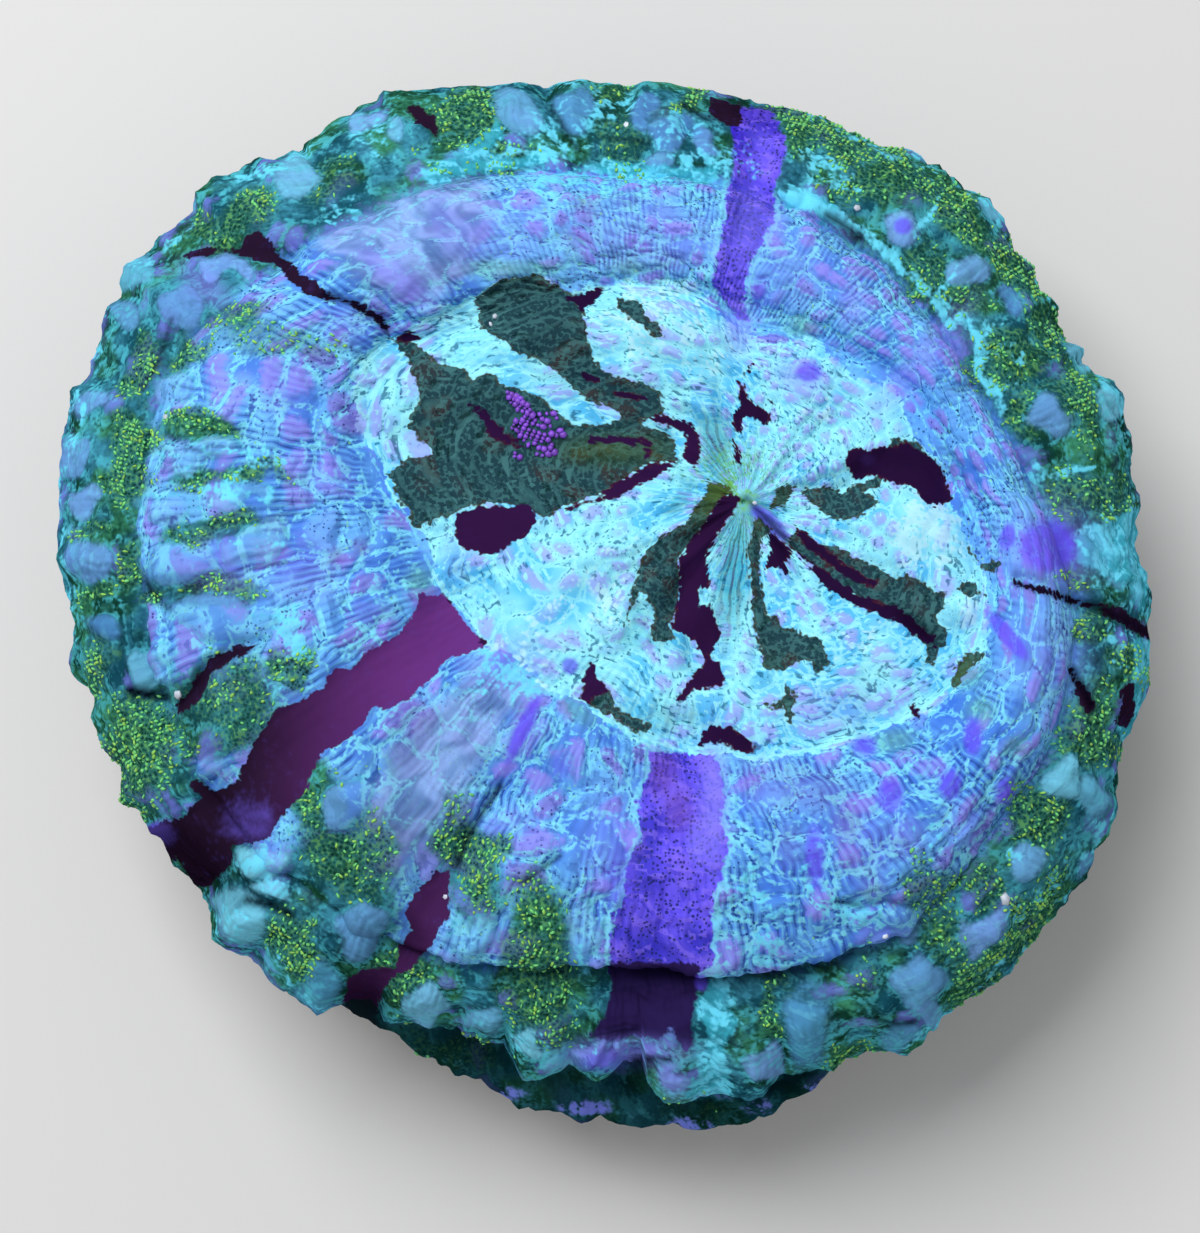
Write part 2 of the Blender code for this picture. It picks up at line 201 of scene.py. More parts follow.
# Narrow clefts: depth, half width, how dark the painted shade in them is, then the line that they follow
CLEFTS = (
    (0.9, 0.55, 0.9, ((-21.8, 27.4), (-22.4, 28.6), (-24, 29.5), (-25, 30.2), (-28, 31.2))),
    (0.9, 0.5, 0.9, ((-10.4, -18), (-12, -20.2), (-12.7, -21.4), (-14, -23.6), (-14.8, -26))),
    (1, 0.6, 0.6, ((41, 2.3), (43.6, 1.6), (46.3, 0.7), (49.3, -0.1), (52.4, -1.6), (54.5, -3))),
    (0.9, 0.55, 0.3, ((-34, -4), (-37, -4.6), (-39.5, -6), (-40.6, -8), (-42.5, -10))),
    (0.9, 0.6, 1, ((-47.5, -8.4), (-45.5, -8.9), (-43.8, -9.1))),
    (0.8, 0.5, 0.9, ((46.8, -6.5), (47.8, -8.2), (48.8, -10))),
    (0.6, 0.4, 0.8, ((-8, -27.7), (-6.4, -26.4), (-4.5, -25))),
    (1, 0.8, 0.9, ((22.2, 39.1), (24, 38), (25.5, 36.8))),
    (0.7, 0.45, 0.7, ((-46.3, 21.5), (-44.6, 24.5), (-43.3, 28.8))),
    (0.9, 0.6, 0.8, ((-46, 2.6), (-45, 0.9), (-43.6, -0.2))),
    (0.9, 0.65, 0.9, ((-35.8, -29.4), (-33.6, -29.8), (-31.5, -30.8))),
    (0.5, 0.4, 0.5, ((-43.5, 8), (-39, 8.3), (-35, 8.6), (-31, 9.4))),
    (0.6, 0.4, 0.6, ((-43, 0.6), (-40, 2.3), (-36, 3.8), (-32, 4.4))),
    (0.4, 0.35, 0.5, ((-44, 17.2), (-41, 15.6), (-38.8, 15.2))),
    (0.6, 0.45, 0.6, ((23.3, -29.5), (25.5, -30), (28, -29.4), (30.6, -30))),
    (0.5, 0.4, 0.5, ((24, -34.6), (27, -34.4), (30, -34.8))),
    (0.5, 0.4, 0.4, ((33.5, 21.8), (36, 21.6), (37, 22.6))),
    (0.6, 0.45, 0.6, ((0.6, 46.8), (2, 46.6), (4.4, 46.4))),
    (0.7, 0.5, 0.8, ((7.8, 50.2), (9, 49.4), (10.2, 48.6))),
    (0.7, 0.5, 0.8, ((-5.5, 50), (-4, 47.5), (-2.6, 45.5))),
    (0.7, 0.45, 0.8, ((26.2, -41), (29, -41.8), (31, -41.6))),
    (0.7, 0.6, 0.9, ((16.5, -48.3), (18.5, -47.4), (21, -46.6))),
    (0.6, 0.5, 0.8, ((3, -45.5), (5.2, -45.1), (6.6, -45.4))),
    (0.7, 0.5, 0.6, ((14.2, 10.8), (15.6, 9.2), (17.2, 7.6), (18.4, 6.4))),
)

# Smooth knobs and fingers in the plan: x, y, half length, half width, turn in degrees, height,
# then how lilac and how pale they are
KNOBS = (
    (-52, 20.5, 2.2, 1.8, 10, 1, 0.6, 0.3), (-53, 15, 1.8, 1.7, 0, 0.8, 0.5, 0.3),
    (-52, 10.5, 2, 1.8, 0, 0.9, 0.7, 0.3), (-51.8, 4.8, 2.4, 2.1, 0, 1.1, 0.5, 0.2),
    (-50.3, -2, 2.2, 1.8, 0, 1, 0.2, 0.1), (-42, 29.5, 1.9, 2.7, 40, 1.2, 0.5, 0.2),
    (-48, 29.5, 2, 1.7, 0, 0.9, 0.3, 0.3), (-31, 43, 2.6, 1.9, -40, 1, 0.3, 0.6),
    (-38, 34.3, 2.6, 1.5, -20, 0.9, 0.8, 0.3), (-47, 33, 1.8, 1.5, 0, 0.7, 0, 0.5),
    (-24.5, 48.5, 2, 1.4, -30, 0.8, 0.9, 0.5), (-21, 47, 1.6, 1.4, 0, 0.7, 0.3, 0.5),
    (-9, 49.4, 2.9, 1.5, -50, 0.9, 0.3, 0.4), (-3, 49.2, 2.5, 2.3, 0, 1.2, 0.2, 0.2),
    (3.5, 49.3, 2.1, 1.8, 0, 1, 0.3, 0.1), (6.5, 47.3, 2.4, 2.1, 0, 1.1, 0.3, 0.1),
    (5, 44.6, 1.7, 1.4, 0, 0.8, 0.4, 0.3), (10.4, 46.5, 1.7, 2, 0, 0.9, 0.5, 0.2),
    (-14, 45, 2, 1.5, 0, 0.8, 0.2, 0.2), (29.8, 38, 2.4, 2.2, 0, 1.2, 1, 0.4),
    (36.3, 34, 2, 1.8, 0, 0.9, 0.6, 0.4), (40, 30.5, 1.9, 1.7, 0, 0.9, 0.3, 0.1),
    (44.5, 18.5, 2.4, 2.3, 0, 1.1, 0.5, 0.3), (38.3, 39.3, 1.8, 1.3, -40, 0.7, 0, 0.6),
    (47, 25, 1.5, 1.9, 20, 0.8, 0.1, 0.7), (50.3, 20.5, 1.6, 1.6, 0, 0.7, 0.1, 0.8),
    (51.3, 6, 1.8, 2.2, 0, 0.9, 0, 0.2), (51.6, 2.4, 1.9, 1.4, 0, 0.8, 0, 0.4),
    (46, -17.5, 1.8, 2, 30, 1, 0.1, 0.8), (48.5, -19.5, 1.6, 2, 30, 0.9, 0, 0.5),
    (42.2, -26, 2.3, 2.1, 0, 1.2, 0.5, 0.4), (38, -32.5, 1.5, 3, -35, 1.1, 0.9, 0.3),
    (48, -26.3, 1.1, 1.2, 0, 0.6, 0.3, 0.3), (31.5, -37.5, 2.5, 3.2, 0, 1.3, 0.4, 0.3),
    (32.5, -40.4, 1.6, 1.3, 0, 0.6, 0.5, 0.4), (30, -43.3, 2.3, 1.6, 0, 0.7, 0.1, 0.3),
    (30, -32, 2.2, 2.1, 0, 1, 0.5, 0.3), (20.5, -42, 2.9, 4.4, -10, 1.4, 0.1, 0.2),
    (15.5, -45.5, 1.7, 2, 0, 0.9, 0.9, 0.4), (-7.5, -43.5, 2, 1.6, 0, 1, 0.1, 0.95),
    (-5, -46, 1.6, 1.2, 0, 0.8, 0.3, 0.6), (-12, -42, 2, 1.4, 0, 0.9, 0.3, 0.5),
    (-18, -40, 2.3, 1.7, 20, 1, 0.5, 0.7), (-13.5, -33.5, 2.8, 2.1, 10, 1.2, 0.2, 0.6),
    (-2, -32.6, 1.5, 2.6, -5, 0.7, 0.9, 0.5), (-34.5, -25.3, 3.3, 1.7, 12, 1.6, 0, 1),
    (-33.3, -28.2, 2.6, 1.3, -8, 1.2, 0.1, 0.9), (-37, -31, 3, 2.9, 0, 1.5, 0, 0.85),
    (-28.5, -38, 2.6, 2.2, 30, 1.3, 0, 0.3), (-24.5, -32.5, 3.3, 2.5, 10, 1.3, 0.4, 0.3),
    (-26, -19.5, 3, 2.2, 30, 1, 0.5, 0.3), (-39, -16.4, 2, 1.4, 30, 0.8, 0.4, 0.3),
    (-44.5, -22.5, 2, 1.3, 0, 0.8, 0.9, 0), (-45.4, -6.2, 3.2, 1.8, -12, 1.5, 0.1, 0.6),
    (-40.2, 15, 4.3, 1.2, 5, 0.8, 0.7, 0.7), (-43.5, 9.9, 2.7, 1.9, 0, 1, 1, 0.3),
    (-37, 11.2, 4.4, 1.2, 6, 0.5, 0.2, 0.8), (-42.6, 4.3, 3.4, 2.1, 8, 1, 0.3, 0.2),
    (-35, 6.2, 3.3, 1.5, 12, 0.5, 0.2, 0.8), (-38.5, -1.5, 5.4, 2.1, -10, 0.9, 0.3, 0.2),
    (-43.8, 21.8, 2.4, 1.6, 0, 0.9, 0.7, 0.4), (-2, -44.4, 2.2, 1.2, 0, 1, 1, 0.3),
    (2.4, -44.2, 1.5, 1.1, 0, 1, 1, 0.4), (6.2, -44.8, 1.3, 1, 0, 0.9, 1, 0.3),
    (6.6, -47.2, 1.3, 2, 20, 0.8, 1, 0.4), (0.4, -46.4, 2.4, 0.9, 0, 0.6, 1, 0.2),
)

# How much smoother the maroon flesh, the knobs and the silky folds are than the rest
VELVET_CALM = 0.7
KNOB_CALM = 0.6
SILK_CALM = 0.5

# How far beyond an outline the distance to it is still measured
EDGE_REACH = 6.0

# How the small relief is kept to the edges and to the size of the solid part
EDGE_ALLOWANCE = 0.45
BOX_MARGIN = 0.3
BOX_EASE = 1.2

# ---------------- how finely the skin is meshed

RINGS_PER_BAND = (6, 12, 26, 26, 16, 17, 22, 22, 14, 5, 8, 20, 32, 16, 12, 14, 8, 4, 5, 5)
SPOKES_PER_BAND = (180, 180, 360, 360, 720, 720, 720, 720, 720, 720,
                   720, 720, 720, 720, 720, 720, 360, 180, 180, 180)

# Where the named bands lie along the stack of key rings
LIPS, DISC_GROOVE, CROWN, CREASE, RIM = 2, 5, 7, 10, 13
TUCK, LOWER_TIER, LIP, UNDER, NECK, FOOT = 14, 15, 16, 17, 18, 20


def curve_between(before, here, after, beyond, share):
    """The smooth curve from here to after, which also heeds their neighbours (Catmull-Rom)."""
    return 0.5 * (
        2 * here
        + (after - before) * share
        + (2 * before - 5 * here + 4 * after - beyond) * share**2
        + (3 * here - before - 3 * after + beyond) * share**3
    )


def smooth_loop(radii, angles):
    """Radii at any angles, from evenly spaced ones, by a closed smooth curve through them."""
    radii = np.array(radii)
    count = len(radii)
    place = angles / (2 * math.pi) * count
    low = np.floor(place).astype(int)
    before, here, after, beyond = (radii[(low + step) % count] for step in (-1, 0, 1, 2))
    return curve_between(before, here, after, beyond, place - low)


def loop_about(centre, radii, angles, height):
    """A closed ring of points about a centre."""
    x = centre[0] + radii * np.cos(angles)
    y = centre[1] + radii * np.sin(angles)
    return np.stack([x, y, np.broadcast_to(height, angles.shape)], axis=-1)


def ring_between(inner, outer, share, height):
    """The ring a given share of the way out from one to another, at its own height."""
    ring = inner + (outer - inner) * share
    ring[:, 2] = height
    return ring


def facing(angles, towards, spread):
    """1 where the coral faces a given way, falling smoothly to 0 at spread degrees to either side."""
    turn = (np.degrees(angles) - towards + 180) % 360 - 180
    return eased(1 - np.abs(turn) / spread)


def eased(share):
    """A share held between 0 and 1, with a soft start and end."""
    share = np.clip(share, 0, 1)
    return share * share * (3 - 2 * share)


def key_rings(angles):
    """The rings that set the form, from the throat to the foot of the base."""
    axis = np.zeros(2)
    same = np.ones_like(angles)
    rim_radii = smooth_loop(RIM_RADII, angles)
    lower_radii = smooth_loop(LOWER_TIER_RADII, angles)
    crease_radii = smooth_loop(CREASE_RADII, angles)
    disc_radii = smooth_loop(DISC_RADII, angles)
    front = np.clip(facing(angles, 275, 55) + 0.45 * facing(angles, 190, 60), 0, 1)
    crease_height = CREASE_HEIGHT - FRONT_CREASE_DROP * front
    sag = WANDER * (np.sin(3 * angles + 0.8) + 0.7 * np.sin(5 * angles + 2.1))
    lips = loop_about(MOUTH, MOUTH_RADIUS * same, angles, DISC_HEIGHT - MOUTH_DEPTH)
    groove = loop_about(DISC_CENTRE, disc_radii, angles, DISC_HEIGHT - 0.2)
    fringe = loop_about(axis, crease_radii - 0.4 + 1.1 * front, angles, CREASE_HEIGHT + 0.9)
    crease = loop_about(axis, crease_radii - 0.9 * front, angles, crease_height)
    rim = loop_about(axis, rim_radii, angles, RIM_HEIGHT + sag)
    tuck_radii = np.minimum(rim_radii, lower_radii) - TUCK_INSET - TUCK_INSET * front
    tuck_height = 0.5 * (RIM_HEIGHT + LOWER_TIER_HEIGHT) + 1.2 * sag
    under_radii = 0.25 * lower_radii + 0.75 * BASE_NECK_RADIUS + 2
    shelf_height = CREASE_HEIGHT - SHELF_DROP - 0.5 * FRONT_CREASE_DROP * front
    return np.array(
        [
            loop_about(MOUTH, THROAT_RADIUS * same, angles, DISC_HEIGHT - THROAT_DEPTH),
            loop_about(MOUTH, GULLET_RADIUS * same, angles, DISC_HEIGHT - GULLET_DEPTH),
            lips,
            ring_between(lips, groove, 0.40, DISC_HEIGHT - MOUTH_DEPTH),
            ring_between(lips, groove, 0.78, DISC_HEIGHT + 0.2),
            groove,
            ring_between(groove, crease, 0.24, CROWN_HEIGHT - 1.3),
            ring_between(groove, crease, 0.54, CROWN_HEIGHT),
            ring_between(groove, crease, 0.82, CROWN_HEIGHT - 1.9),
            fringe,
            crease,
            loop_about(axis, crease_radii + 2.2, angles, crease_height - 0.3),
            ring_between(crease, rim, 0.66, shelf_height),
            rim,
            loop_about(axis, tuck_radii, angles, tuck_height),
            loop_about(axis, lower_radii, angles, LOWER_TIER_HEIGHT + 0.8 * sag),
            loop_about(axis, lower_radii - LIP_INSET, angles, LIP_HEIGHT),
            loop_about(axis, under_radii, angles, LIP_HEIGHT + 1.5),
            loop_about(axis, BASE_NECK_RADIUS * same, angles, LIP_HEIGHT - 1.0),
            loop_about(axis, (BASE_FOOT_RADIUS + BASE_FLARE) * same, angles, LIP_HEIGHT / 2),
            loop_about(axis, BASE_FOOT_RADIUS * same, angles, 0.0),
        ]
    )


def smooth_form(levels, angles):
    """Points of the smooth form: one ring of them at each level between the key rings."""
    keys = key_rings(angles)
    low = np.clip(np.floor(levels), 0, FOOT - 1).astype(int)
    before, here, after, beyond = (keys[np.clip(low + step, 0, FOOT)] for step in (-1, 0, 1, 2))
    return curve_between(before, here, after, beyond, (levels - low)[:, None, None])


def outward(levels, angles):
    """The direction out of the smooth form at each of its points."""
    small = 0.02
    along = smooth_form(np.minimum(levels + small, FOOT), angles)
    along -= smooth_form(np.maximum(levels - small, 0), angles)
    around = smooth_form(levels, angles + small) - smooth_form(levels, angles - small)
    normals = np.cross(along, around)
    return normals / np.linalg.norm(normals, axis=2)[:, :, None]


# ---------------- uneven patterns, the same at every run

def hashed(cells, seed):
    """A number from 0 to 1 for each whole-number cell. The constants only mix the bits."""
    mixed = cells[..., 0] * 73856093 ^ cells[..., 1] * 19349663 ^ cells[..., 2] * 83492791
    mixed = (mixed + seed * 104729) & 0xFFFFFFFF
    mixed = ((mixed ^ (mixed >> 15)) * 0x2C1B3C6D) & 0xFFFFFFFF
    mixed = ((mixed ^ (mixed >> 12)) * 0x297A2D39) & 0xFFFFFFFF
    return ((mixed ^ (mixed >> 15)) & 0xFFFFFF) / 0x1000000


def drift(points, size, seed):
    """Smooth noise from 0 to 1 whose swells are about a given size."""
    place = points / size
    low = np.floor(place).astype(np.int64)
    share = eased(place - low)
    total = np.zeros(len(points))
    for corner in np.ndindex(2, 2, 2):
        weight = np.prod(np.where(corner, share, 1 - share), axis=1)
        total += weight * hashed(low + corner, seed)
    return total


def lobes_near(turns, rows, count, seed):
    """A quilt of lobes, so many to a turn and one to a row: how far each place is from the middle of
    its lobe, how near it is to the seam with the next (0 on the seam), that lobe's own tint, and how
    far along its row the place is from the lobe's middle."""
    place = np.stack([turns * count, rows], axis=-1)
    low = np.floor(place).astype(np.int64)
    nearest, second = np.full(len(place), np.inf), np.full(len(place), np.inf)
    tint, lean = np.zeros(len(place)), np.zeros(len(place))
    for step in np.ndindex(3, 3):
        cell = low + np.array(step) - 1
        key = np.stack([cell[:, 0] % count, cell[:, 1], np.full(len(cell), count)], axis=-1)
        jitter = np.stack([hashed(key, seed + part) for part in range(2)], axis=-1) - 0.5
        offset = place - cell - 0.5 - QUILT_JITTER * jitter
        away = np.linalg.norm(offset, axis=1)
        closer = away < nearest
        tint = np.where(closer, hashed(key, seed + 3), tint)
        lean = np.where(closer, offset[:, 1], lean)
        second = np.where(closer, nearest, np.minimum(second, away))
        nearest = np.minimum(nearest, away)
    return np.clip(nearest, 0, 1), np.clip(second - nearest, 0, 1), tint, lean


# ---------------- places in the plan

def seen_plan(points):
    """Where points lie in the plan that the coral's markings are drawn on."""
    away = points - EYE
    depth = away @ FORWARD
    across = np.stack([away[:, 0], away @ UPWARD], axis=-1)
    return FRAME_CENTRE + across * (VIEW_DISTANCE / depth)[:, None]


def laid_out(edge, height):
    """The angles and radii, in order round the axis, of points of the plan laid on a level height."""
    away = np.array(edge) - FRAME_CENTRE
    rays = VIEW_DISTANCE * FORWARD + away[:, :1] * ACROSS + away[:, 1:] * UPWARD
    places = EYE + rays * ((height - EYE[2]) / rays[:, 2])[:, None]
    turns = np.arctan2(places[:, 1], places[:, 0]) % (2 * math.pi)
    order = np.argsort(turns)
    return turns[order], np.hypot(places[:, 0], places[:, 1])[order]


def turns_about(points, centre):
    """The direction of each point from a centre, in turns."""
    return np.arctan2(points[:, 1] - centre[1], points[:, 0] - centre[0]) / (2 * math.pi)


def edge_offset(angles, edge, height, radii):
    """How much farther out than a smooth loop an edge drawn in the plan lies, at given angles."""
    turns, edge_radii = laid_out(edge, height)
    return np.interp(angles, turns, edge_radii - smooth_loop(radii, turns), period=2 * math.pi)


def near_line(plan, line):
    """How far each place is from a line of straight runs."""
    nearest = np.full(len(plan), np.inf)
    for start, end in zip(line[:-1], line[1:]):
        start = np.array(start)
        run = np.array(end) - start
        along = np.clip((plan - start) @ run / (run @ run), 0, 1)
        nearest = np.minimum(nearest, np.linalg.norm(plan - start - along[:, None] * run, axis=1))
    return nearest


def across_oval(plan, x, y, long, short, turn):
    """How far each place is from the middle of an oval: 1 on its edge."""
    away = plan - np.array([x, y])
    angle = math.radians(turn)
    lengthwise = away @ np.array([math.cos(angle), math.sin(angle)]) / long
    crosswise = away @ np.array([-math.sin(angle), math.cos(angle)]) / short
    return np.hypot(lengthwise, crosswise)


def inside_outline(plan, outline):
    """How far inside an outline each place is: below 0 outside it, down to -EDGE_REACH."""
    corners = np.array(outline, dtype=float)
    depth = np.full(len(plan), -EDGE_REACH)
    low, high = corners.min(axis=0) - EDGE_REACH, corners.max(axis=0) + EDGE_REACH
    near = np.all((plan > low) & (plan < high), axis=1)
    places = plan[near]
    distance = near_line(places, np.vstack([corners, corners[:1]]))
    inside = np.zeros(len(places), dtype=bool)
    for start, end in zip(corners, np.roll(corners, -1, axis=0)):
        if start[1] == end[1]:
            continue
        crosses = (start[1] > places[:, 1]) != (end[1] > places[:, 1])
        at = start[0] + (places[:, 1] - start[1]) * (end[0] - start[0]) / (end[1] - start[1])
        inside ^= crosses & (places[:, 0] < at)
    depth[near] = np.where(inside, distance, -np.minimum(distance, EDGE_REACH))
    return depth


def inside_any(plan, outlines):
    """How far inside the nearest of several outlines each place is."""
    return np.max([inside_outline(plan, outline) for outline in outlines], axis=0)


# ---------------- relief

def window(value, start, full, fade, end):
    """0 outside start to end, 1 from full to fade, and smooth between."""
    rise = (value - start) / (full - start)
    fall = (end - value) / (end - fade)
    return eased(np.minimum(rise, fall))


def lobes(angles, count, seed):
    """Rounded lobes round the coral, 0 in the clefts to 1 on the lobes, of uneven width and height."""
    wander = 0.9 * np.sin(3 * angles + seed) + 0.7 * np.sin(7 * angles + 2.3 * seed)
    swell = np.abs(np.sin((count * angles + wander) / 2)) ** 0.8
    return swell * (0.72 + 0.28 * np.sin(5 * angles + 1.7 * seed) * np.sin(8 * angles + seed))


def broad_relief(plan):
    """How far the flesh is raised by its lumps and lowered by its valleys and clefts."""
    raised = np.zeros(len(plan))
    for x, y, radius, height in LUMPS:
        raised += height * np.exp(-2.2 * across_oval(plan, x, y, radius, radius, 0) ** 2)
    for depth, half_width, line in VALLEYS:
        raised -= depth * np.exp(-0.8 * (near_line(plan, line) / half_width) ** 3)
    for depth, half_width, _, line in CLEFTS:
        raised -= depth * np.exp(-((near_line(plan, line) / half_width) ** 2))
    return raised


def knob_shares(plan):
    """How much of each place is smooth knob, how lilac and how pale it is there, and how raised."""
    plan = wandered(plan, *KNOB_WANDER)
    cover = np.zeros(len(plan))
    total, lilac, pale, height = (np.full(len(plan), 1e-6) for _ in range(4))
    for x, y, long, short, turn, swell, lilac_share, pale_share in KNOBS:
        away = across_oval(plan, x, y, long, short, turn)
        share = eased((1.35 - away) / 0.8)
        cover = np.maximum(cover, share)
        total += share
        lilac += share * lilac_share
        pale += share * pale_share
        height = np.maximum(height, swell * eased((1.3 - away) / 1.3))
    return cover, lilac / total, pale / total, height


def calm_share(plan):
    """How much of the small relief stays: less on maroon flesh, on silky folds and in calm areas."""
    velvet = eased(inside_any(plan, MAROON_PATCHES) + 0.6)
    silk = eased(inside_any(plan, SILK_FOLDS) / 3 + 0.5)
    silk = np.maximum(silk, soft_spots(plan, CALM_AREAS))
    return (1 - VELVET_CALM * velvet) * (1 - SILK_CALM * silk)


def lobe_relief(level, angle):
    """The lobes and ribs that repeat round the coral, each on its own band."""
    knobs = window(level, CREASE + 0.7, RIM - 0.8, RIM + 0.3, TUCK)
    tier = window(level, TUCK, LOWER_TIER - 0.3, LOWER_TIER + 0.4, LIP + 0.6)
    fingers = window(level, CROWN - 0.3, CROWN + 1.0, CREASE - 1.0, CREASE)
    furrows = window(level, LIPS - 0.8, LIPS + 0.2, DISC_GROOVE - 2.0, DISC_GROOVE - 0.5)
    costae = window(level, NECK - 0.5, NECK, FOOT, FOOT + 1.0)
    frill = window(level, RIM - 0.5, RIM, RIM + 0.4, TUCK) + window(level, TUCK, LOWER_TIER, LIP, UNDER)
    uneven = 0.5 + 0.5 * np.sin(5 * angle + 1.1) * np.sin(11 * angle)
    folds = np.sin(FRILL_COUNT * angle + 5 * np.sin(7 * angle) + 4 * np.sin(13 * angle))
    return (
        KNOB_SWELL * knobs * lobes(angle, KNOB_COUNT, 1.0)
        + LOWER_LOBE_SWELL * tier * lobes(angle, LOWER_LOBE_COUNT, 4.0)
        + FRILL_SWELL * frill * uneven * folds
        + FINGER_SWELL * fingers * (lobes(angle, FINGER_COUNT, 2.6) - 0.5)
        + DISC_FURROW_DEPTH * furrows * np.cos(DISC_FURROW_COUNT * angle + 0.6)
        + COSTA_DEPTH * costae * np.cos(COSTA_COUNT * angle)
    )


def band_shares(level):
    """How far each place belongs to the oral disc, to the ring round it and to the skirt below that."""
    disc = window(level, LIPS - 1.2, LIPS - 0.3, DISC_GROOVE - 0.5, DISC_GROOVE + 0.5)
    ring = window(level, DISC_GROOVE - 0.5, DISC_GROOVE + 0.5, CREASE - 0.8, CREASE + 0.2)
    skirt = window(level, CREASE - 0.4, CREASE + 0.6, LIP, UNDER)
    return disc, ring, skirt


def fine_relief(points, level, turn, path):
    """The small swellings and folds of the flesh, then what each place knows of its lobe."""
    sway = [drift(points, QUILT_SWAY_SIZE, seed) for seed in (91, 92)]
    lobe = {name: np.full(len(points), 0.5) for name in ("lobe", "seam", "tint", "scale", "lean")}
    lift = np.zeros(len(points))
    for share, centre, count, size, swell, seed in zip(
        band_shares(level), BAND_CENTRES, LOBE_COUNTS, LOBE_LENGTHS, LOBE_SWELLS, (11, 31, 51)
    ):
        found = share > 0
        turns = turns_about(points[found], centre) + QUILT_WARP * (sway[0][found] - 0.5) / count
        rows = path[found] / size + QUILT_WARP * (sway[1][found] - 0.5)
        away, seam, tint, _ = lobes_near(turns, rows, count, seed)
        small, small_seam, _, lean = lobes_near(turns, 3 * rows, 3 * count, seed + 10)
        narrow = np.clip(np.linalg.norm(points[found, :2] - centre, axis=1) / NARROW_REACH, 0.15, 1)
        raised = 0.55 - away + 0.25 * (0.5 - small) + 0.15 * lean
        lift[found] += share[found] * swell * narrow * raised
        nearly = share[found] > 0.5
        known = {"lobe": away, "seam": seam, "tint": tint, "scale": small_seam, "lean": lean}
        for name, values in known.items():
            lobe[name][found] = np.where(nearly, values, lobe[name][found])
    under = window(level, LIP, UNDER, FOOT - 0.3, FOOT)
    ribs = window(level, LIPS + 0.5, DISC_GROOVE, RIM, TUCK)
    wave = drift(points, WAVE_SIZE, 3)
    grain = drift(points, STONE_GRAIN_SIZE, 5)
    lift += WAVE_SWELL * ribs * (wave - 0.5) + STONE_GRAIN_SWELL * under * (grain - 0.5)
    lift += RIB_SWELL * ribs * np.sin(2 * math.pi * RIB_COUNT * turn + 9 * wave)
    return lift, lobe


# ---------------- the skin as one net of rings

def skin_rings():
    """The level and the number of spokes of every ring, from the throat to the foot."""
    levels, spokes = [], []
    for band, (count, around) in enumerate(zip(RINGS_PER_BAND, SPOKES_PER_BAND)):
        levels += [band + step / count for step in range(count)]
        spokes += [around] * count
    return np.array(levels + [float(FOOT)]), np.array(spokes + [SPOKES_PER_BAND[-1]])


def held_below(values, limit):
    """Values eased so that none comes past a limit."""
    start = limit - BOX_EASE
    return np.where(values > start, start + BOX_EASE * np.tanh((values - start) / BOX_EASE), values)


def held_in(points):
    """Points eased inwards where they would come out of the solid part's box. The foot stays flat."""
    low, high = (np.array(corner) / MM for corner in CAD_BOX)
    for axis in range(3):
        points[:, axis] = held_below(points[:, axis], high[axis] - BOX_MARGIN)
    for axis in range(2):
        points[:, axis] = -held_below(-points[:, axis], -low[axis] - BOX_MARGIN)
    return points


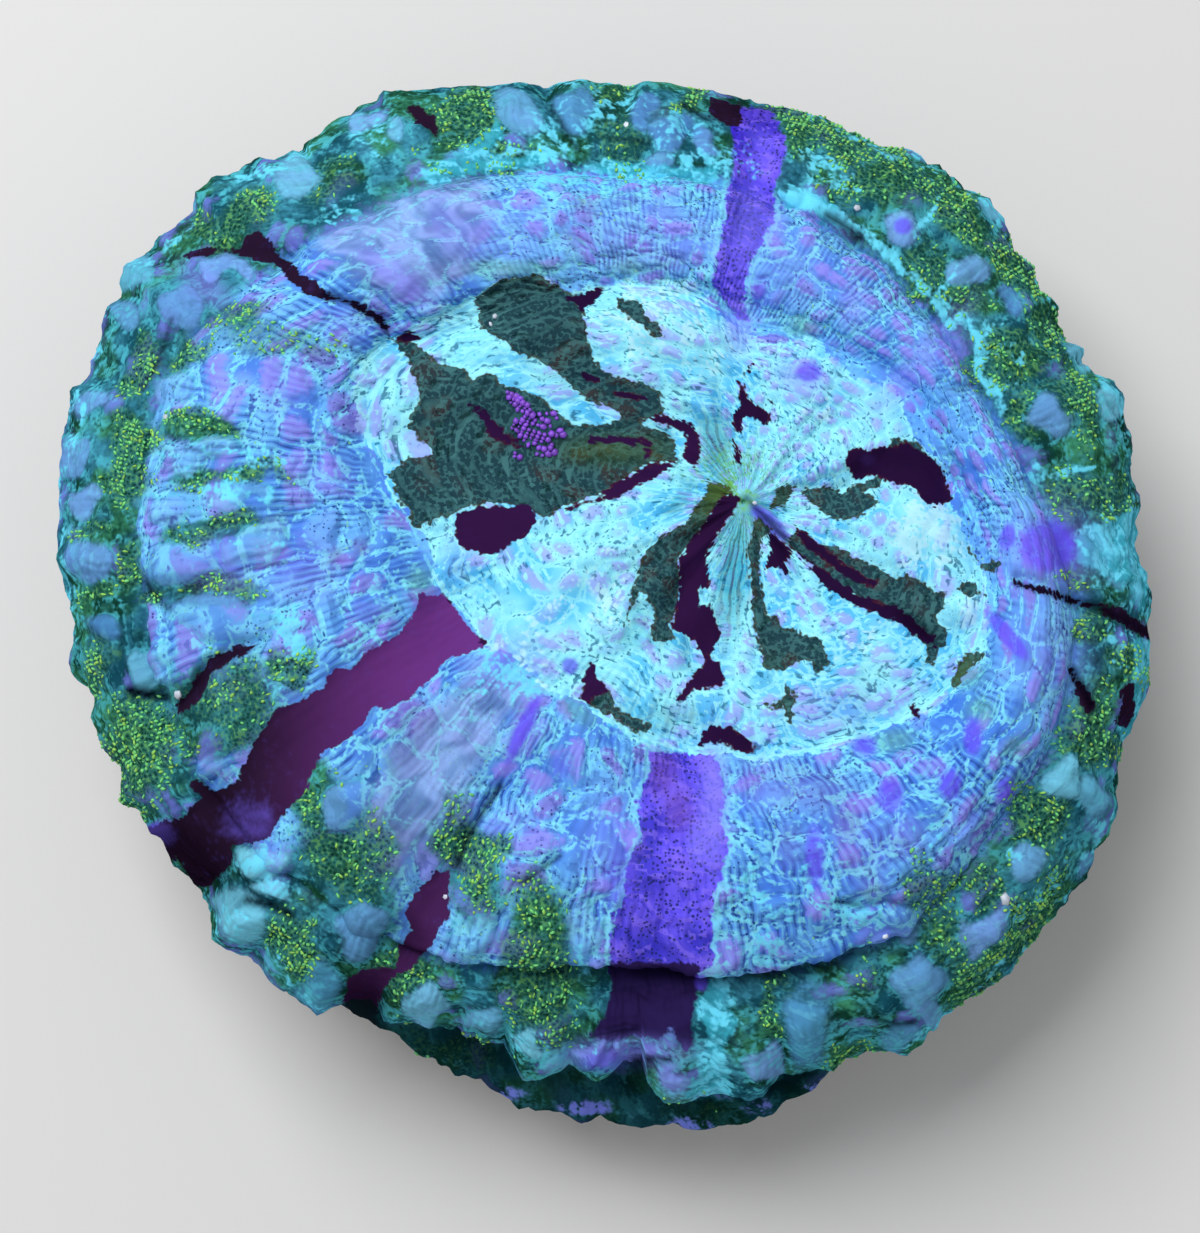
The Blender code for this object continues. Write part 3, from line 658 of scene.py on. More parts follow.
class Skin:
    """The points of the whole skin, ring after ring, and what each of them knows about itself."""

    def __init__(self):
        self.ring_levels, self.ring_spokes = skin_rings()
        self.ring_starts = np.concatenate([[0], np.cumsum(self.ring_spokes)])
        smooth, normals, angles = [], [], []
        for around in sorted(set(self.ring_spokes)):
            turns = np.arange(around) * 2 * math.pi / around
            chosen = self.ring_spokes == around
            smooth.append((chosen, smooth_form(self.ring_levels[chosen], turns)))
            normals.append(outward(self.ring_levels[chosen], turns))
            angles.append(turns)
        count = self.ring_starts[-1]
        self.form, self.normal = np.zeros((count, 3)), np.zeros((count, 3))
        self.angle = np.zeros(count)
        for (chosen, rings), directions, turns in zip(smooth, normals, angles):
            for place, ring, direction in zip(np.flatnonzero(chosen), rings, directions):
                span = slice(self.ring_starts[place], self.ring_starts[place + 1])
                self.form[span], self.normal[span], self.angle[span] = ring, direction, turns
        self.level = np.repeat(self.ring_levels, self.ring_spokes)
        self.path = np.repeat(self.paths(), self.ring_spokes)
        band = (self.level >= DISC_GROOVE).astype(int) + (self.level >= CREASE)
        self.turn = np.choose(band, [turns_about(self.form, centre) for centre in BAND_CENTRES])
        self.points = self.relieved()
        self.plan = seen_plan(self.points)
        self.faces, self.face_levels = self.net()
        self.shading = self.shading_normals()

    def paths(self):
        """How far along the skin each ring is from the throat, averaged round the coral."""
        turns = np.arange(24) * math.pi / 12
        rings = smooth_form(self.ring_levels, turns)
        steps = np.linalg.norm(np.diff(rings, axis=0), axis=2).mean(axis=1)
        return np.concatenate([[0], np.cumsum(steps)])

    def relieved(self):
        """The smooth form with all of its relief."""
        seen = seen_plan(self.form)
        lift, self.lobe = fine_relief(self.form, self.level, self.turn, self.path)
        above = self.level < TUCK
        lift[above] *= calm_share(seen[above])
        outside = window(self.level, DISC_GROOVE, DISC_GROOVE + 1.0, RIM + 0.5, TUCK)
        knob, _, _, swell = knob_shares(seen)
        lift *= 1 - KNOB_CALM * outside * knob
        lift += lobe_relief(self.level, self.angle)
        lift += outside * swell
        direction = self.normal.copy()
        direction[self.level > NECK, 2] = 0
        points = self.form + direction * lift[:, None]
        top = window(self.level, LIPS - 1.0, LIPS + 0.5, RIM - 1.0, RIM + 0.3)
        points[:, 2] += top * broad_relief(self.form[:, :2])
        out = self.moved_out()
        points[:, 0] += out * np.cos(self.angle)
        points[:, 1] += out * np.sin(self.angle)
        return held_in(points)

    def moved_out(self):
        """How far out each point is moved, so that the rim and the frill follow their drawn edges."""
        rim = window(self.level, CREASE + 1.2, RIM - 0.1, RIM + 0.4, TUCK + 0.2)
        frill = window(self.level, TUCK, LOWER_TIER - 0.3, LOWER_TIER + 0.4, LIP + 0.5)
        frill *= facing(self.angle, 271, 34)
        out = rim * (edge_offset(self.angle, RIM_EDGE, RIM_HEIGHT, RIM_RADII) - EDGE_ALLOWANCE)
        return out + frill * edge_offset(self.angle, FRILL_EDGE, LOWER_TIER_HEIGHT, LOWER_TIER_RADII)

    def net(self):
        """The faces between neighbouring rings, and the level of each."""
        faces, levels = [], []
        pairs = zip(self.ring_starts, self.ring_starts[1:], self.ring_spokes, self.ring_spokes[1:])
        for number, (near, far, inner, outer) in enumerate(pairs):
            if inner == outer:
                here = np.arange(inner)
                after = (here + 1) % inner
                made = [np.stack([near + here, far + here, far + after, near + after], axis=-1)]
            elif outer > inner:
                made = self.split(near, inner, far, outer // inner, False)
            else:
                made = self.split(far, outer, near, inner // outer, True)
            faces += [face.tolist() for face in made]
            levels += [self.ring_levels[number]] * sum(len(face) for face in made)
        return [corner for block in faces for corner in block], np.array(levels)

    @staticmethod
    def split(coarse, count, fine, ratio, reverse):
        """The triangles between a ring and one with two or more times as many points."""
        here = np.arange(count)
        start = coarse + here
        end = coarse + (here + 1) % count
        middle = ratio // 2
        made = []
        for step in range(ratio):
            first = fine + here * ratio + step
            second = fine + (here * ratio + step + 1) % (count * ratio)
            made.append(np.stack([start if step < middle else end, first, second], axis=-1))
            if step == middle - 1:
                made.append(np.stack([start, second, end], axis=-1))
        if reverse:
            made = [face[:, ::-1] for face in made]
        return made

    def shading_normals(self):
        """The normal at each point, averaged over the faces round it."""
        corners = np.array([face[:3] for face in self.faces])
        first, second, third = (self.points[corners[:, side]] for side in range(3))
        facing_out = np.cross(second - first, third - first)
        total = np.zeros_like(self.points)
        for side in range(3):
            np.add.at(total, corners[:, side], facing_out)
        fourth = np.array([number for number, face in enumerate(self.faces) if len(face) == 4])
        np.add.at(total, [self.faces[number][3] for number in fourth], facing_out[fourth])
        return total / np.maximum(np.linalg.norm(total, axis=1), 1e-12)[:, None]


# ---------------- the markings, drawn in the plan

ORAL_DISC = (
    (38.3, 0.5), (38, 4), (36.5, 6), (35.5, 9), (34.9, 10.3), (34, 13.2), (31.5, 16.5), (29.5, 20.5),
    (28.5, 22), (25, 22.8), (22, 26), (20, 27), (17, 26.5), (14.5, 27), (12, 29), (10.5, 31), (8.5, 32.5),
    (5.5, 32.9), (2.5, 32.6), (0.5, 31.8), (-1.5, 31.8), (-4, 31.5), (-5.5, 33), (-8, 33.2), (-11, 32.5),
    (-13, 31), (-16.3, 30), (-18, 29), (-19.5, 27.5), (-22.5, 26.5), (-24.5, 25), (-25.3, 23), (-25, 18),
    (-22.5, 14.5), (-22, 12), (-20.5, 10), (-18.5, 7.7), (-17, 4), (-17.5, 2.5), (-16.2, 1.3), (-14.3, -1),
    (-12, -3.8), (-8.5, -5.5), (-6.5, -7.5), (-4.5, -9), (-2, -10), (0, -12), (2, -13), (5.5, -14.5),
    (9, -15), (13, -15), (16, -15.8), (20, -15), (24, -14), (27, -12.8), (30, -11.5), (32.5, -10.5),
    (34.5, -9), (36, -7), (38, -5.5), (38.5, -3), (38.3, -1),
)

# Dark green patches that run out from the mouth
GREEN_PATCHES = (
    (
        (-21.1, 27), (-18.9, 26.4), (-17.5, 25.2), (-17, 24.3), (-14.5, 23.9), (-13.3, 22.7), (-11, 23.3),
        (-10.3, 22.2), (-8, 21.4), (-6.1, 20.8), (-4.3, 19.3), (-3.4, 18.2), (0.5, 18.2), (2.2, 19.1),
        (4.3, 18), (7.3, 16.6), (7, 14.5), (4.3, 14.3), (1.2, 12), (-1.8, 10.7), (-4.1, 10.1), (-6.1, 8.8),
        (-7.2, 9.7), (-11.8, 10.3), (-14.5, 9.5), (-18.9, 8), (-20, 9.7), (-22.1, 13.4), (-20.2, 14.5),
        (-17.3, 15.3), (-19.6, 17.8), (-18.7, 20.8), (-19.1, 23.1), (-20, 24.8),
    ),
    (
        (-13.1, 30.6), (-10.6, 32.5), (-8.4, 33.1), (-6.2, 33), (-4.3, 31.9), (-2.8, 31.2), (-2.2, 29.3),
        (-1.7, 27), (-0.9, 24.5), (-0.1, 23.7), (2.2, 22.7), (5.6, 21.6), (6, 19.5), (4.3, 18.5),
        (2.2, 18.9), (0.5, 19.9), (-1.7, 20.4), (-4.7, 22.9), (-6.8, 24.7), (-9.1, 25.2), (-11, 27.1),
        (-12.6, 28.1), (-12.6, 29.6),
    ),
    (
        (10.2, 12.8), (11.7, 12.3), (12.7, 11.3), (11.4, 10.4), (10.2, 8.4), (9.1, 7.1), (7.3, 4.6),
        (7.5, 2.3), (7.2, -0.4), (6.4, -2.1), (7.5, -3.6), (4.3, -3.2), (5, -0.4), (3.5, 1.6), (1.8, -2.3),
        (2.9, 2.3), (3.7, 4.8), (5.4, 6.9), (7.9, 8.4), (9.8, 11.1),
    ),
    (
        (15.2, 9), (16.7, 7.7), (15.8, 6.7), (15.4, 4.2), (15.8, 1.9), (16.1, -1.1), (17.5, -0.9),
        (17.5, -2.1), (19, -2.3), (21.7, -3.4), (22.5, -5.7), (21.1, -6.7), (20.7, -5.5), (18.8, -5.9),
        (17.3, -6.7), (15.8, -5.9), (15.6, -4.2), (15, -2.3), (14.8, -0.4), (14.6, 2.7), (14.2, 5.8),
    ),
    (
        (18, 6.1), (19.5, 8.1), (21.5, 6.4), (24.2, 5.4), (26, 4.5), (28.2, 3.2), (30.4, 2.9), (32.2, 2.2),
        (33.1, 1.4), (35.8, 2.2), (37.1, 2.1), (38.1, 1), (35.3, 1.4), (34, 0.7), (33.9, -0.4), (33.1, -1),
        (34, -2.4), (34.3, -3.7), (33.5, -4.2), (33, -6.2), (32.2, -5.5), (32, -3.7), (30.4, -2.4),
        (29.3, -1), (28, -0.8), (26, 0.3), (23.7, 1.6), (21.5, 3.2), (19.5, 5.1),
    ),
    (
        (19.4, 11.5), (20.5, 11.9), (22.1, 11.9), (23.8, 11.4), (25.1, 12.3), (27.8, 13.4), (27.6, 11.9),
        (25.9, 11.5), (27.4, 10.4), (25.5, 9), (23.4, 8.4), (21.7, 9.4), (20.4, 10.4),
    ),
    (
        (17.8, -7), (18, -8), (17.5, -9.3), (15.8, -9.8), (16.5, -10.8), (17.8, -10.3), (18.5, -11.8),
        (19.2, -9),
    ),
    (
        (1.2, 30.8), (3.7, 30.2), (4.3, 28.9), (5.8, 28.3), (5.8, 27.1), (4.9, 26.6), (3.9, 27.9),
        (1.4, 29.6),
    ),
    ((36, -4.7), (38.2, -4.8), (36.5, -6.5), (35, -8.3), (34.5, -7.5)),
    ((36.3, 5.8), (38, 4.5), (40.2, 4.8), (39, 3), (37.5, 3.6)),
    ((28, 14.6), (30, 15.4), (32.5, 14.5), (31.5, 16.6), (28.6, 16.8)),
    (
        (-1.3, -6.6), (-2, -6.8), (-2.8, -8.6), (-0.7, -10.4), (1.2, -11.6), (3.5, -12.8), (4.9, -12.7),
        (4.5, -11.8), (2.8, -11), (1, -9.9), (0.5, -8.7), (-0.5, -7.9),
    ),
    ((16, 9.5), (17.3, 12.1), (19, 12), (18, 10)),
)

# Maroon patches, on the disc and across the ring and the skirt
MAROON_PATCHES = (
    (
        (11.7, 11.1), (13.5, 10.9), (12.9, 9.2), (11, 6.9), (10.2, 4.8), (10.4, 2.7), (10.6, 1.9),
        (9.3, 1.9), (9.4, -0.2), (10.8, 0.4), (11, -1.7), (11.6, -2.8), (10.4, -4.8), (9.1, -3.8),
        (6.4, -2.1), (7.2, -0.4), (7.5, 2.3), (7.3, 4.6), (9.1, 7.1),
    ),
    ((10, -4.9), (11.4, -5.5), (12, -7.9), (8.9, -8.3), (7.4, -9.5), (8.7, -7), (9.8, -5.6)),
    (
        (24.2, 15.7), (28.2, 15.9), (30.2, 16.6), (32.7, 14.8), (34, 13.2), (34.9, 10.3), (32.2, 10.1),
        (31.1, 11.9), (29.8, 12.1), (27.3, 13), (25, 12.6), (23.8, 14.1),
    ),
    (
        (13, 22.6), (14, 22.2), (14.2, 20.7), (15.8, 19.7), (16.7, 18.8), (16, 18), (15, 18.6),
        (13.8, 18.8), (13.7, 16.9), (12.7, 18), (12.7, 19.3), (13.7, 20.1),
    ),
    ((13.6, 22.4), (14.3, 23.2), (15.1, 24.5), (14.2, 24)),
    ((16.2, 20.6), (16.8, 21), (17.2, 20.4), (16.6, 20)),
    ((12.8, 16.6), (13.6, 15.6), (13.6, 14), (12.9, 14.6)),
    (
        (3.3, 18.8), (5.8, 19), (8.5, 18.4), (9.6, 17.1), (9.6, 14.9), (8.9, 13.8), (7.5, 14.9),
        (8.1, 16.9), (6.8, 18), (4.3, 18.6),
    ),
    (
        (-4, 9.7), (-0.5, 11.1), (1.4, 12.5), (4.9, 14.4), (7.2, 14.4), (6, 13.4), (4.1, 12.1),
        (1.4, 11.1), (-0.1, 10.4),
    ),
    ((-1.6, 16.9), (4.1, 16.9), (4.7, 16.3), (4.6, 14.7), (4, 14.7), (3.8, 16.2), (-1.6, 16.3)),
    (
        (-13.5, 20), (-12, 18.5), (-11.5, 17), (-10, 15.8), (-7.5, 15.6), (-8.6, 16.8), (-10.6, 18),
        (-12, 19.8),
    ),
    ((1, 21.7), (4.5, 20.9), (4.5, 20.2), (1, 21)),
    ((-2.2, 23.2), (-0.5, 22.8), (-0.6, 22.2), (-2.2, 22.6)),
    (
        (-15, 9.3), (-11, 10.3), (-7.6, 9.9), (-6.6, 8.4), (-8, 7.2), (-10.3, 5.3), (-12.2, 5),
        (-14.5, 5.7), (-15, 7.8),
    ),
    ((-1.3, -5.6), (-2, -6.8), (-2.8, -9.3), (-1.7, -9.8), (0.2, -8.4), (-0.6, -7)),
    (
        (9.1, -14.1), (9.7, -12.5), (10.8, -11.8), (12.7, -12), (13.9, -12.9), (14.8, -13.5),
        (14.8, -14.6), (12.7, -14.6), (11.6, -13.5),
    ),
    ((-4, 31), (-2.5, 31.2), (0, 31.8), (-1, 30.5), (-2.5, 29.5)),
    ((30, -9.8), (30.8, -10), (31.9, -11.2), (31.2, -11.4)),
    ((18.6, 8.4), (20.4, 7.3), (24, 4.2), (27.2, 2.5), (27, 1.8), (23.6, 3.1), (20, 6)),
    (
        (19.2, 5.4), (21.4, 3.9), (25.2, 1.2), (29.2, -0.2), (31, -1.6), (32.8, -3), (33.2, -4.2),
        (31.5, -3.2), (29, -1.4), (25, -0.1), (21.6, 2.4),
    ),
    ((16.5, 7.2), (18.6, 6), (18.9, 5.2), (18, 4.2), (18.9, 2.6), (17.2, 3.8), (15.9, 3.6), (16.4, 5.4)),
    (
        (-16.2, 1.3), (-18.3, 1.3), (-19, 0), (-20, -2), (-22, -3.7), (-24, -4.5), (-25, -6), (-27, -6),
        (-28.5, -8), (-31, -9.5), (-33.5, -11), (-35, -13.5), (-36.3, -16), (-36.5, -17.5), (-39, -18.2),
        (-41, -17.2), (-41.5, -18), (-40.5, -19), (-42, -21), (-46, -22.3), (-49, -25), (-45, -28),
        (-43, -25), (-41, -28), (-39.5, -28), (-37.5, -26), (-37, -24), (-34, -23.5), (-32.5, -21.5),
        (-30.5, -19), (-29.5, -17), (-28, -14.5), (-26.5, -13.8), (-24.5, -12.3), (-23.5, -10.5),
        (-20, -9.5), (-18, -8), (-16, -5.5), (-12, -3.8), (-14.3, -1),
    ),
    (
        (-42, 35), (-39.5, 36), (-36.5, 35.8), (-36, 37), (-34.5, 38), (-33.7, 36.5), (-31.5, 34.5),
        (-30, 33), (-27.5, 31.3), (-25, 30.5), (-24, 29.8), (-22.3, 29), (-21.7, 27.6), (-22.3, 27.4),
        (-23, 28.6), (-25, 29.9), (-28.5, 30.7), (-30, 31.1), (-31.5, 32.3), (-32.5, 34), (-34.5, 34.5),
        (-38, 35.3), (-40, 34.8),
    ),
    ((-21, 26.8), (-19.8, 27.6), (-18.5, 26.7), (-19.6, 26.3)),
    ((-20.5, 50), (-19, 50.3), (-17, 49), (-16.5, 46.5), (-18, 47.5)),
    (
        (-15, -26), (-16.8, -26.5), (-18.5, -28), (-20, -30.5), (-19.5, -32), (-20.5, -34), (-21, -36),
        (-24, -36.3), (-25.8, -37), (-26, -40), (-27, -41), (-26, -44), (-22, -43), (-23, -41), (-22, -38),
        (-19, -35.8), (-17, -34), (-16.8, -32), (-15.5, -31), (-15.3, -27),
    ),
    ((10.5, 50.7), (14, 50.3), (13.5, 48), (12, 48), (10.5, 49)),
    (
        (-34.4, -3.7), (-37, -4.1), (-39.6, -5.4), (-41, -7.6), (-43, -10.2), (-42.4, -11), (-40.6, -9.4),
        (-39.4, -6.9), (-36.6, -5.2),
    ),
    (
        (41, 2.5), (43.7, 1.8), (46.2, 1), (47.6, 0.8), (49.4, 0.4), (51.4, -0.2), (53.2, -1.2),
        (54.8, -2.6), (54.4, -3.5), (52.4, -2.2), (50.6, -1.2), (48.6, -0.4), (46.4, 0.3), (43.6, 1.3),
        (41, 2.1),
    ),
    ((46.2, -5.8), (47.3, -7.2), (48.6, -8.6), (49.3, -10.5), (48, -10.9), (47.4, -9.2), (46.6, -7.6)),
    ((51.6, -8), (52.9, -7.8), (53, -10), (52.4, -12), (51.2, -11.8), (51.4, -9.8)),
)

VIOLET_BANDS = (
    (
        (12, 50.5), (12.8, 46), (12.8, 43), (12, 41), (11.8, 38), (11.3, 35), (10.7, 32), (12, 30),
        (13.2, 28.7), (14.5, 28.5), (14, 30), (14.2, 32), (15, 35), (16.8, 38.5), (17, 42), (18, 44),
        (18, 47), (16.8, 49.5),
    ),
    (
        (4.5, -14.5), (4.3, -17), (3.4, -19), (3.5, -23), (2.3, -26), (2, -29), (1, -31), (0.5, -34),
        (0.4, -36.5), (9, -37), (10.9, -36), (10.8, -32), (11, -29), (11.8, -27.5), (12.2, -24),
        (11.6, -21.6), (12, -18), (11, -14.2),
    ),
)

# The dark violet patch on the skirt below the front violet band
NIGHT_PATCHES = (
    (
        (0.4, -35.5), (0.7, -38), (0, -40.5), (-1.5, -43), (0.5, -43.6), (3, -42.9), (5.4, -43.4),
        (6.6, -42.2), (8, -44.6), (8.9, -43.6), (8.6, -41.5), (9.3, -38), (9.6, -35.8),
    ),
)

# Bright sheets of flesh on the skirt
AQUA_SHEETS = (
    (
        (10.4, -37.4), (9.2, -40.5), (10.2, -43.5), (8.8, -47.6), (7.6, -49.4), (12.2, -49.4), (12.7, -47),
        (11.9, -44.5), (13.4, -42), (12.3, -39.5), (12.8, -37.2),
    ),
    (
        (-19, 43.4), (-15, 45.2), (-12.4, 47), (-10.6, 48.4), (-9.8, 47), (-11.4, 45.6), (-9, 44.8),
        (-5.6, 46.2), (-4.4, 44.9), (-8, 43.6), (-13, 43.4), (-17, 41.8),
    ),
    ((0, 44.6), (4, 44.2), (8, 44), (11.6, 44.2), (11.4, 42.2), (6, 42.4), (0, 42.8), (-4, 43.6)),
    ((18.4, 42.4), (22, 41), (25, 38.6), (23.6, 37.6), (20.4, 39.4), (18, 40)),
    (
        (47.4, 7.8), (50, 8.4), (53.4, 10), (54, 6), (54.4, 2), (54.6, -1.6), (53.2, -0.6), (52.2, 1.8),
        (49.4, 3.4), (47, 4.6),
    ),
    ((53, -3), (54.6, -3.4), (54.4, -7), (53.6, -11), (52.4, -14.6), (51.2, -13), (52.8, -8)),
)

# The dusky, smoother folds at the back left and the front left
SILK_FOLDS = (
    (
        (-30, 44), (-24, 49), (-17.5, 46), (-12, 43), (-11, 39), (-13, 33.5), (-17.5, 30.5), (-23, 31),
        (-29, 36), (-31, 40),
    ),
    (
        (-9, -6), (-13, -6.2), (-17, -10), (-22, -15), (-24, -22), (-21, -27), (-17, -24), (-12, -15),
        (-7, -8.5),
    ),
)

# Beds of yellow-green crumbs: x, y, half length, half width, turn and how densely they lie
CRUMB_BEDS = (
    (-37, 38.8, 4.5, 2.4, 35, 1), (-27.5, 43.5, 3, 2.2, 40, 0.7), (-46.8, 24, 1.6, 3.4, -12, 1),
    (-41, 26, 2, 2.2, 0, 0.9), (-36, 29.2, 2.2, 2, 0, 0.7), (-33.5, 26.6, 6.5, 1.6, -6, 0.5),
    (-47.6, 14.5, 2.4, 4, 0, 1), (-52, 7.5, 2.2, 1.2, 0, 0.8), (-47, 4.5, 1.2, 2.6, 0, 0.9),
    (-51, 2, 2.5, 1.4, 0, 0.8), (-45.2, 0, 1.3, 1.2, 0, 1.3), (-50.6, -6, 1.7, 2.2, 0, 0.9),
    (-46, -14.5, 4.2, 5.4, 0, 1), (-37, -9.5, 4.2, 4.2, 0, 0.8), (-29.6, -19, 1.8, 3.4, 30, 1),
    (-26, -24, 4.2, 6.5, 20, 0.9), (-31, -34, 2.2, 4, 20, 1), (-20, -37.5, 2.2, 3.5, 20, 0.9),
    (-13.5, -25, 2.8, 5.2, 20, 1), (-6.5, -36, 3.8, 8.2, 0, 0.9), (-13.5, 49.2, 4, 2.6, 0, 1.5),
    (-12.5, 45.3, 4.6, 1.4, 0, 1.2), (-0.8, 51.3, 2.8, 1.3, 0, 0.9), (2, 46, 2.2, 2.6, 0, 0.6),
    (8.5, 50, 2.1, 1.2, 0, 1.1), (-37.6, 13, 6, 0.9, 5, 0.9), (-38.8, 7.6, 5.4, 1, 8, 0.9),
    (-39.5, 1.8, 5.4, 1.5, -5, 0.9), (-40, 17.6, 4.4, 1.4, 0, 0.9), (-31, -6, 2.2, 2, 30, 1.2),
    (22, 47.6, 5.5, 2.2, -22, 1), (30, 44, 4.5, 2.2, -35, 1), (36.6, 39.5, 4.2, 2, -50, 1),
    (41, 34, 4.4, 2, -58, 1), (45, 26.5, 3.6, 2.2, -60, 0.9), (47, 20, 4, 2.4, -70, 0.9),
    (48.8, 11, 4.6, 2.2, 0, 0.8), (47.2, 2.3, 1.8, 1, 0, 0.9), (48.3, -2.8, 1.6, 1.6, 0, 0.9),
    (52.2, -6, 1.5, 2.2, 0, 0.9), (48.6, -12.5, 2.8, 4, 0, 0.9), (43.6, -21, 2.8, 4.4, -20, 1),
    (25.5, 42.5, 3.6, 2, 0, 0.9), (32.5, 34.2, 2.6, 3, 0, 0.8), (36, 30.5, 3, 2.6, 0, 0.9),
    (40, 24.5, 3, 3.8, 0, 0.9), (42.5, 19, 2.4, 2.2, 0, 0.9), (32.5, -28, 2.8, 2.2, 0, 0.8),
    (38, -27.8, 2.2, 1.9, 0, 0.8), (34, -32.6, 2.2, 3, 0, 0.8), (40, -33.5, 2.2, 9, -40, 0.9),
    (17, -40.5, 0.9, 4, 0, 1), (26, -36.6, 2.4, 1.9, 0, 0.4), (16, 49.6, 2.6, 1.2, 0, 1),
    (-16, -45, 5, 2, -12, 0.8), (8, -50, 3, 1.6, 0, 0.5), (24.5, -44.2, 4, 1.6, 0, 0.7),
)

# Soft spots of colour: x, y, half length, half width, turn and strength
LILAC_SPOTS = (
    (5.5, 38.5, 2.4, 2.2, 0, 0.6), (6, 36.5, 1.6, 1.4, 0, 0.5), (17, 37.5, 1.3, 2.2, 0, 0.8),
    (24.8, 30.3, 1.6, 2.6, 0, 0.8), (31.5, 24.5, 6.5, 1.6, 50, 0.8), (-30, 3, 3.6, 3, 0, 0.5),
    (-28, 13, 2.4, 2, 0, 0.5), (-32.5, 21.3, 2.6, 2.2, 0, 0.5), (-26, 28, 2.4, 2, 0, 0.5),
    (-16, 38, 1.4, 3.4, 20, 0.5), (-20.5, 32.6, 4.6, 1.4, -38, 0.9), (-14, 36.8, 1.4, 2.6, 20, 0.5),
    (13.5, 27.8, 1.6, 2.8, 0, 0.9), (10.9, -19.5, 1.5, 6.4, 0, 1), (30, -23, 2, 2.2, 0, 0.6),
    (-8, -22, 2, 2, 0, 0.4), (0.5, -24, 3, 6, 0, 0.4), (19.5, 22.8, 2.6, 1.8, -20, 0.9),
    (36, -22, 2, 2.2, 0, 0.5), (-40, 32, 3, 1.4, -40, 0.6), (-7, 39, 2, 1.4, 0, 0.4),
    (16, -18, 3, 3, 0, 0.4), (26, -24, 3, 4, 0, 0.4), (-15, 5, 1.6, 2.6, 0, 0.4),
    (14.4, 38, 2, 5.5, 0, 0.5), (15.6, 45, 2, 3, 0, 0.3), (9.6, -23.5, 1.4, 2.4, 0, 0.7),
    (44, 5.6, 4.6, 4.6, 0, 0.7), (44, -5, 4, 5, 30, 0.4), (4, 36.5, 9, 3, 0, 0.5), (-10, 37, 5, 3, 0, 0.4),
    (19, 33.5, 4.5, 3.4, -35, 0.4), (-9.5, -5.5, 4, 2.4, 30, 0.5), (22, -10, 5, 2.2, 0, 0.4),
    (-38, 4, 4, 3, 0, 0.4), (2, -44.6, 6, 1.4, 0, 0.9), (6.6, -47.2, 1.2, 2, 20, 0.8),
)
VIOLET_SPOTS = (
    (44.3, 6, 2.9, 2.7, 0, 1), (40.2, 6.8, 0.9, 1.5, -15, 0.9), (40.3, -3, 0.8, 3.2, 40, 1),
    (-8.2, -12.3, 0.8, 4, -25, 0.9), (36.8, -13, 1.1, 2.2, 0, 0.8), (34.5, -17.8, 1.3, 1.8, 0, 0.8),
    (28.5, -19, 1.5, 1.8, 0, 0.9), (26, -14, 1.4, 1.4, 0, 0.7), (21, -25, 1.2, 4, 0, 0.7),
    (40, -18.5, 1.2, 1.6, 0, 0.7), (-4.5, -16, 1.4, 1.8, 0, 0.5), (-3.5, -6, 0.9, 0.9, 0, 0.9),
    (15.5, 31.5, 1.2, 2.4, 0, 0.5), (20.4, 23.4, 1.4, 1.1, 0, 0.9), (26.3, 14.7, 0.8, 0.7, 0, 1),
    (29.8, 38, 1, 0.9, 0, 0.9), (1.5, -27, 2, 4, 0, 0.5), (-43, 9.5, 2, 1.4, 0, 0.3),
    (16.5, 8.3, 2.6, 0.9, -43, 1), (-35.5, -21.5, 2.8, 2.4, 0, 0.6), (-44.5, -22.8, 1.8, 1.1, 0, 1),
    (0, -45.6, 3, 1.4, 0, 0.5), (9.6, -37.6, 0.7, 0.9, 0, 0.9), (-33, -24, 2, 1.2, 0, 0.3),
)
MAUVE_SPOTS = (
    (-2, 39.8, 1.5, 1.4, 0, 0.8), (-3, 37, 1.4, 1.2, 0, 0.6), (-26.8, 4.8, 1, 1, 0, 0.9),
    (-24.5, 5.9, 1, 1, 0, 0.8), (-19, -11, 2.2, 1.8, 0, 0.6), (21, -18.5, 4, 2.4, -10, 0.6),
    (-8.2, -12.3, 1.1, 4.2, -25, 1), (5.8, -16.6, 1.5, 2.6, 0, 0.9), (7.4, -20.4, 1.5, 2.2, 0, 0.8),
    (15, -17.4, 1.6, 1.6, 0, 0.5), (24, -21.5, 1.6, 2.4, 0, 0.7), (23.8, 37.8, 1.8, 0.9, -38, 0.8),
    (6.5, 34.5, 1.6, 1, 0, 0.4), (-24, 19, 2, 1.6, 0, 0.4), (-22, -1, 1.4, 1.4, 0, 0.4),
    (26.8, -28.5, 1.4, 1.2, 0, 0.5), (18.5, -24, 1.6, 2.6, 0, 0.5), (-33, 8, 1.4, 0.9, 0, 0.4),
    (2, 40.6, 1.6, 1, 0, 0.4),
)

# Broad areas of the ring that are a deeper blue: x, y, half length, half width, turn and strength
DUSK_AREAS = (
    (14, -27, 22, 9, 5, 0.9), (36, -14, 7, 12, 30, 0.8), (-26, 14, 8, 16, 0, 0.35),
    (20, 36, 8, 5, -30, 0.4), (36, 16, 5, 9, 20, 0.5), (-8, -22, 7, 5, 30, 0.5),
)

